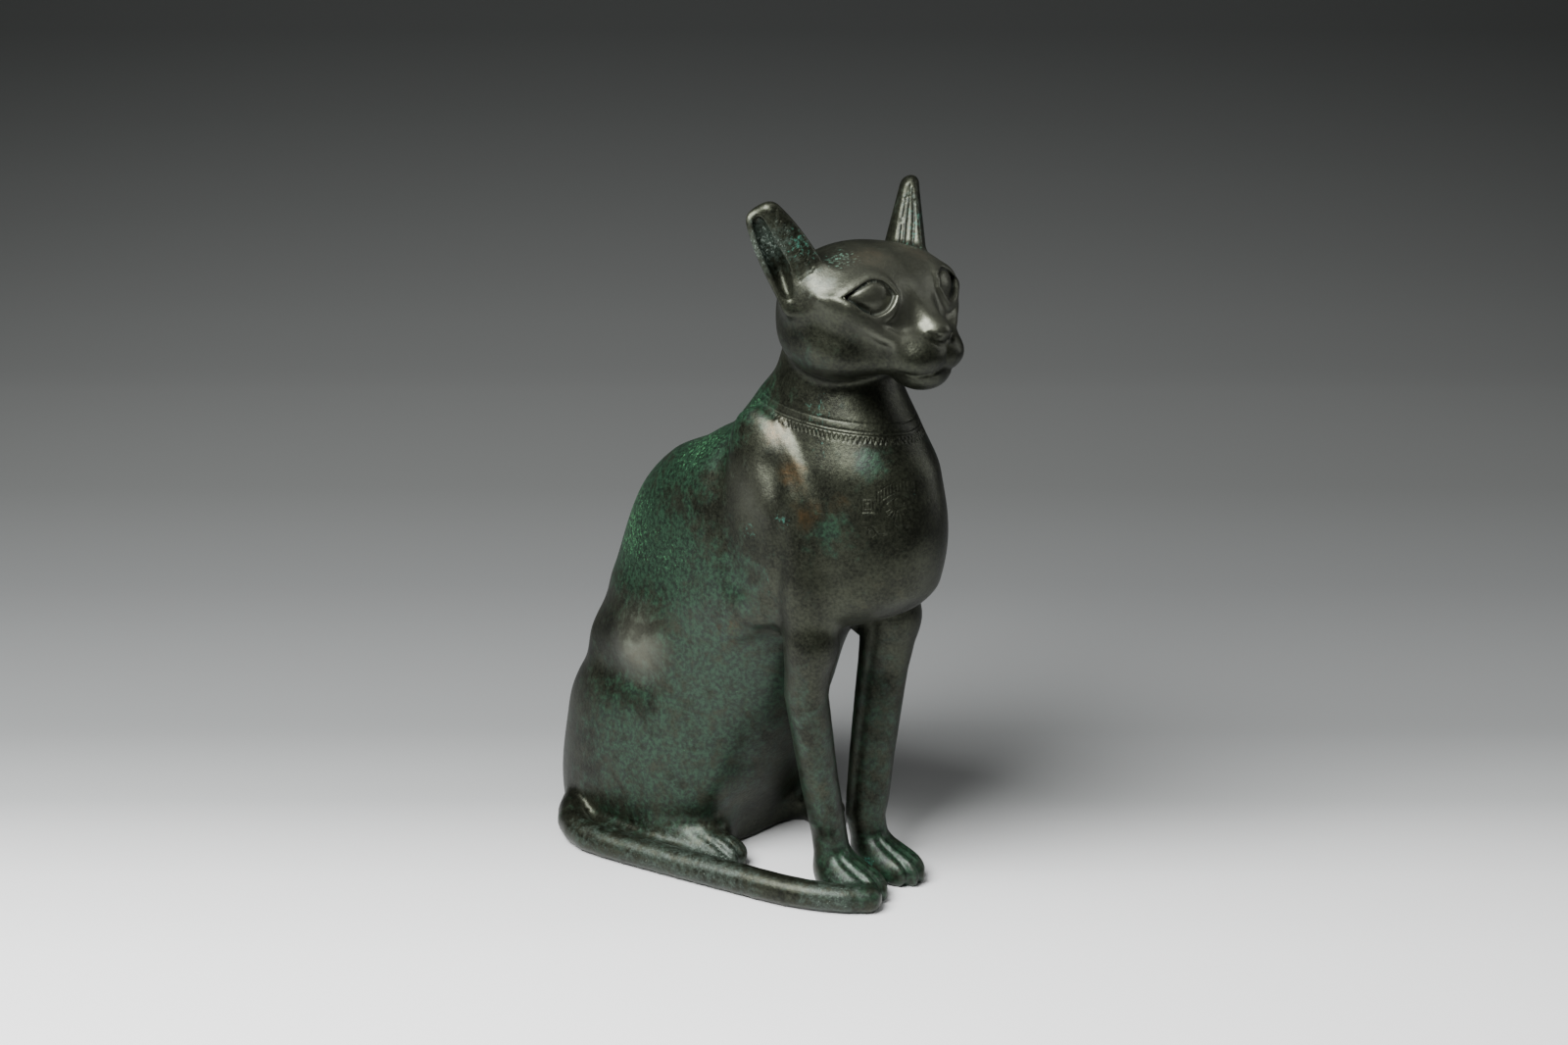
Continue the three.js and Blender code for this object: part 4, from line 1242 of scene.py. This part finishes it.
# %% Patinated bronze
# Amount read, size of its blotches in mm, how much they count, where it starts and is full,
# its two colours, its roughness and how metallic it stays
LAYERS = [
    ("brown", 7.0, 0.9, 0.35, 0.95, "#40331f", "#2d2819", 0.40, 0.75),
    ("green", 6.0, 1.6, 0.15, 0.70, "#0f1a12", "#1f3727", 0.42, 0.25),
    ("green", 1.6, 2.4, 0.95, 1.30, "#22402a", "#386a45", 0.60, 0.10),
    ("hollow", 1.5, 0.6, 0.35, 0.95, "#0d100b", "#182119", 0.60, 0.30),
    ("teal", 1.8, 2.6, 0.60, 1.10, "#17382f", "#2f6555", 0.60, 0.10),
    ("lime", 3.0, 1.5, 0.45, 0.95, "#1f2720", "#3a453d", 0.50, 0.40),
    ("lime", 1.1, 2.6, 1.08, 1.26, "#3f4942", "#737f76", 0.75, 0.00),
]
# The bare metal's two tones, its roughness and how metallic it is, and its tone and share for wear and
# painted highlights
BARE_DARK, BARE_LIGHT, BARE_ROUGHNESS, BARE_METAL = "#181a13", "#33362b", 0.41, 0.80
WEAR_AND_HIGHLIGHT_TONE, WEAR_AND_HIGHLIGHT_SHARE = "#63655a", 0.6


def patinated_bronze():
    """The layers, from the bare metal out. On a Mix node, inputs 2 and 3 are numbers, 6 and 7 colours."""
    material, tree, shader = new_material("patinated_bronze")
    place = add(tree, "ShaderNodeTexCoord").outputs["Object"]

    def blotches(size, detail=4.0):
        values = {"Vector": place, "Scale": 1000 / size, "Detail": detail, "Roughness": 0.62}
        return add(tree, "ShaderNodeTexNoise", values).outputs[0]

    def amount_of(name):
        return add(tree, "ShaderNodeAttribute", attribute_name=name).outputs["Fac"]

    def paint_of(dark, light, share):
        values = {0: share, 6: colour(dark), 7: colour(light)}
        return add(tree, "ShaderNodeMix", values, data_type="RGBA").outputs[2]

    share = add(tree, "ShaderNodeMath", {0: blotches(14), 1: blotches(1.4)}, operation="ADD").outputs[0]
    share = add(tree, "ShaderNodeMapRange", {0: share, 1: 0.8, 2: 1.2}).outputs[0]
    tone, gloss, metal = paint_of(BARE_DARK, BARE_LIGHT, share), BARE_ROUGHNESS, BARE_METAL
    for name, size, weight, start, full, dark, light, roughness, metallic in LAYERS:
        swing = add(tree, "ShaderNodeMath", {0: blotches(size), 1: 0.5}, operation="SUBTRACT").outputs[0]
        values = {0: swing, 1: weight, 2: amount_of(name)}
        level = add(tree, "ShaderNodeMath", values, operation="MULTIPLY_ADD").outputs[0]
        values = {0: level, 1: start, 2: full}
        cover = add(tree, "ShaderNodeMapRange", values, interpolation_type="SMOOTHSTEP").outputs[0]
        speckle = add(tree, "ShaderNodeMapRange", {0: blotches(size / 3), 1: 0.4, 2: 0.6}).outputs[0]
        paint = paint_of(dark, light, speckle)
        tone = add(tree, "ShaderNodeMix", {0: cover, 6: tone, 7: paint}, data_type="RGBA").outputs[2]
        gloss = add(tree, "ShaderNodeMix", {0: cover, 2: gloss, 3: roughness}).outputs[0]
        metal = add(tree, "ShaderNodeMix", {0: cover, 2: metal, 3: metallic}).outputs[0]

    # Wear on edges and the painted highlights lighten the tone
    values = {0: amount_of("edge"), 1: WEAR_AND_HIGHLIGHT_SHARE}
    wear_and_highlight = add(tree, "ShaderNodeMath", values, operation="MULTIPLY").outputs[0]
    tone = add(tree, "ShaderNodeMix", {0: wear_and_highlight, 6: tone, 7: colour(WEAR_AND_HIGHLIGHT_TONE)}, data_type="RGBA").outputs[2]
    # Grains under a millimetre roughen the surface unevenly and pit it, and broad dents cross them
    grain = blotches(0.7, 2.0)
    uneven = add(tree, "ShaderNodeMapRange", {0: grain, 1: 0.3, 2: 0.7, 3: -0.07, 4: 0.07}).outputs[0]
    gloss = add(tree, "ShaderNodeMath", {0: gloss, 1: uneven}, operation="ADD").outputs[0]
    pits = add(tree, "ShaderNodeBump", {"Strength": 0.35, "Distance": 0.0002, "Height": grain}).outputs[0]
    dents = {"Strength": 0.5, "Distance": 0.0006, "Height": blotches(6), "Normal": pits}
    skin_normal = add(tree, "ShaderNodeBump", dents).outputs[0]
    links = {"Base Color": tone, "Roughness": gloss, "Metallic": metal, "Normal": skin_normal}
    for socket, value in links.items():
        tree.links.new(value, shader.inputs[socket])
    # A thin, dull coat gives the soft second sheen of a waxed surface
    shader.inputs["Specular IOR Level"].default_value = 0.3
    shader.inputs["Coat Weight"].default_value = 0.12
    shader.inputs["Coat Roughness"].default_value = 0.34
    return material


skin.materials.clear()
skin.materials.append(patinated_bronze())

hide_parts("cat_figure")
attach(cat_bronze, "root")
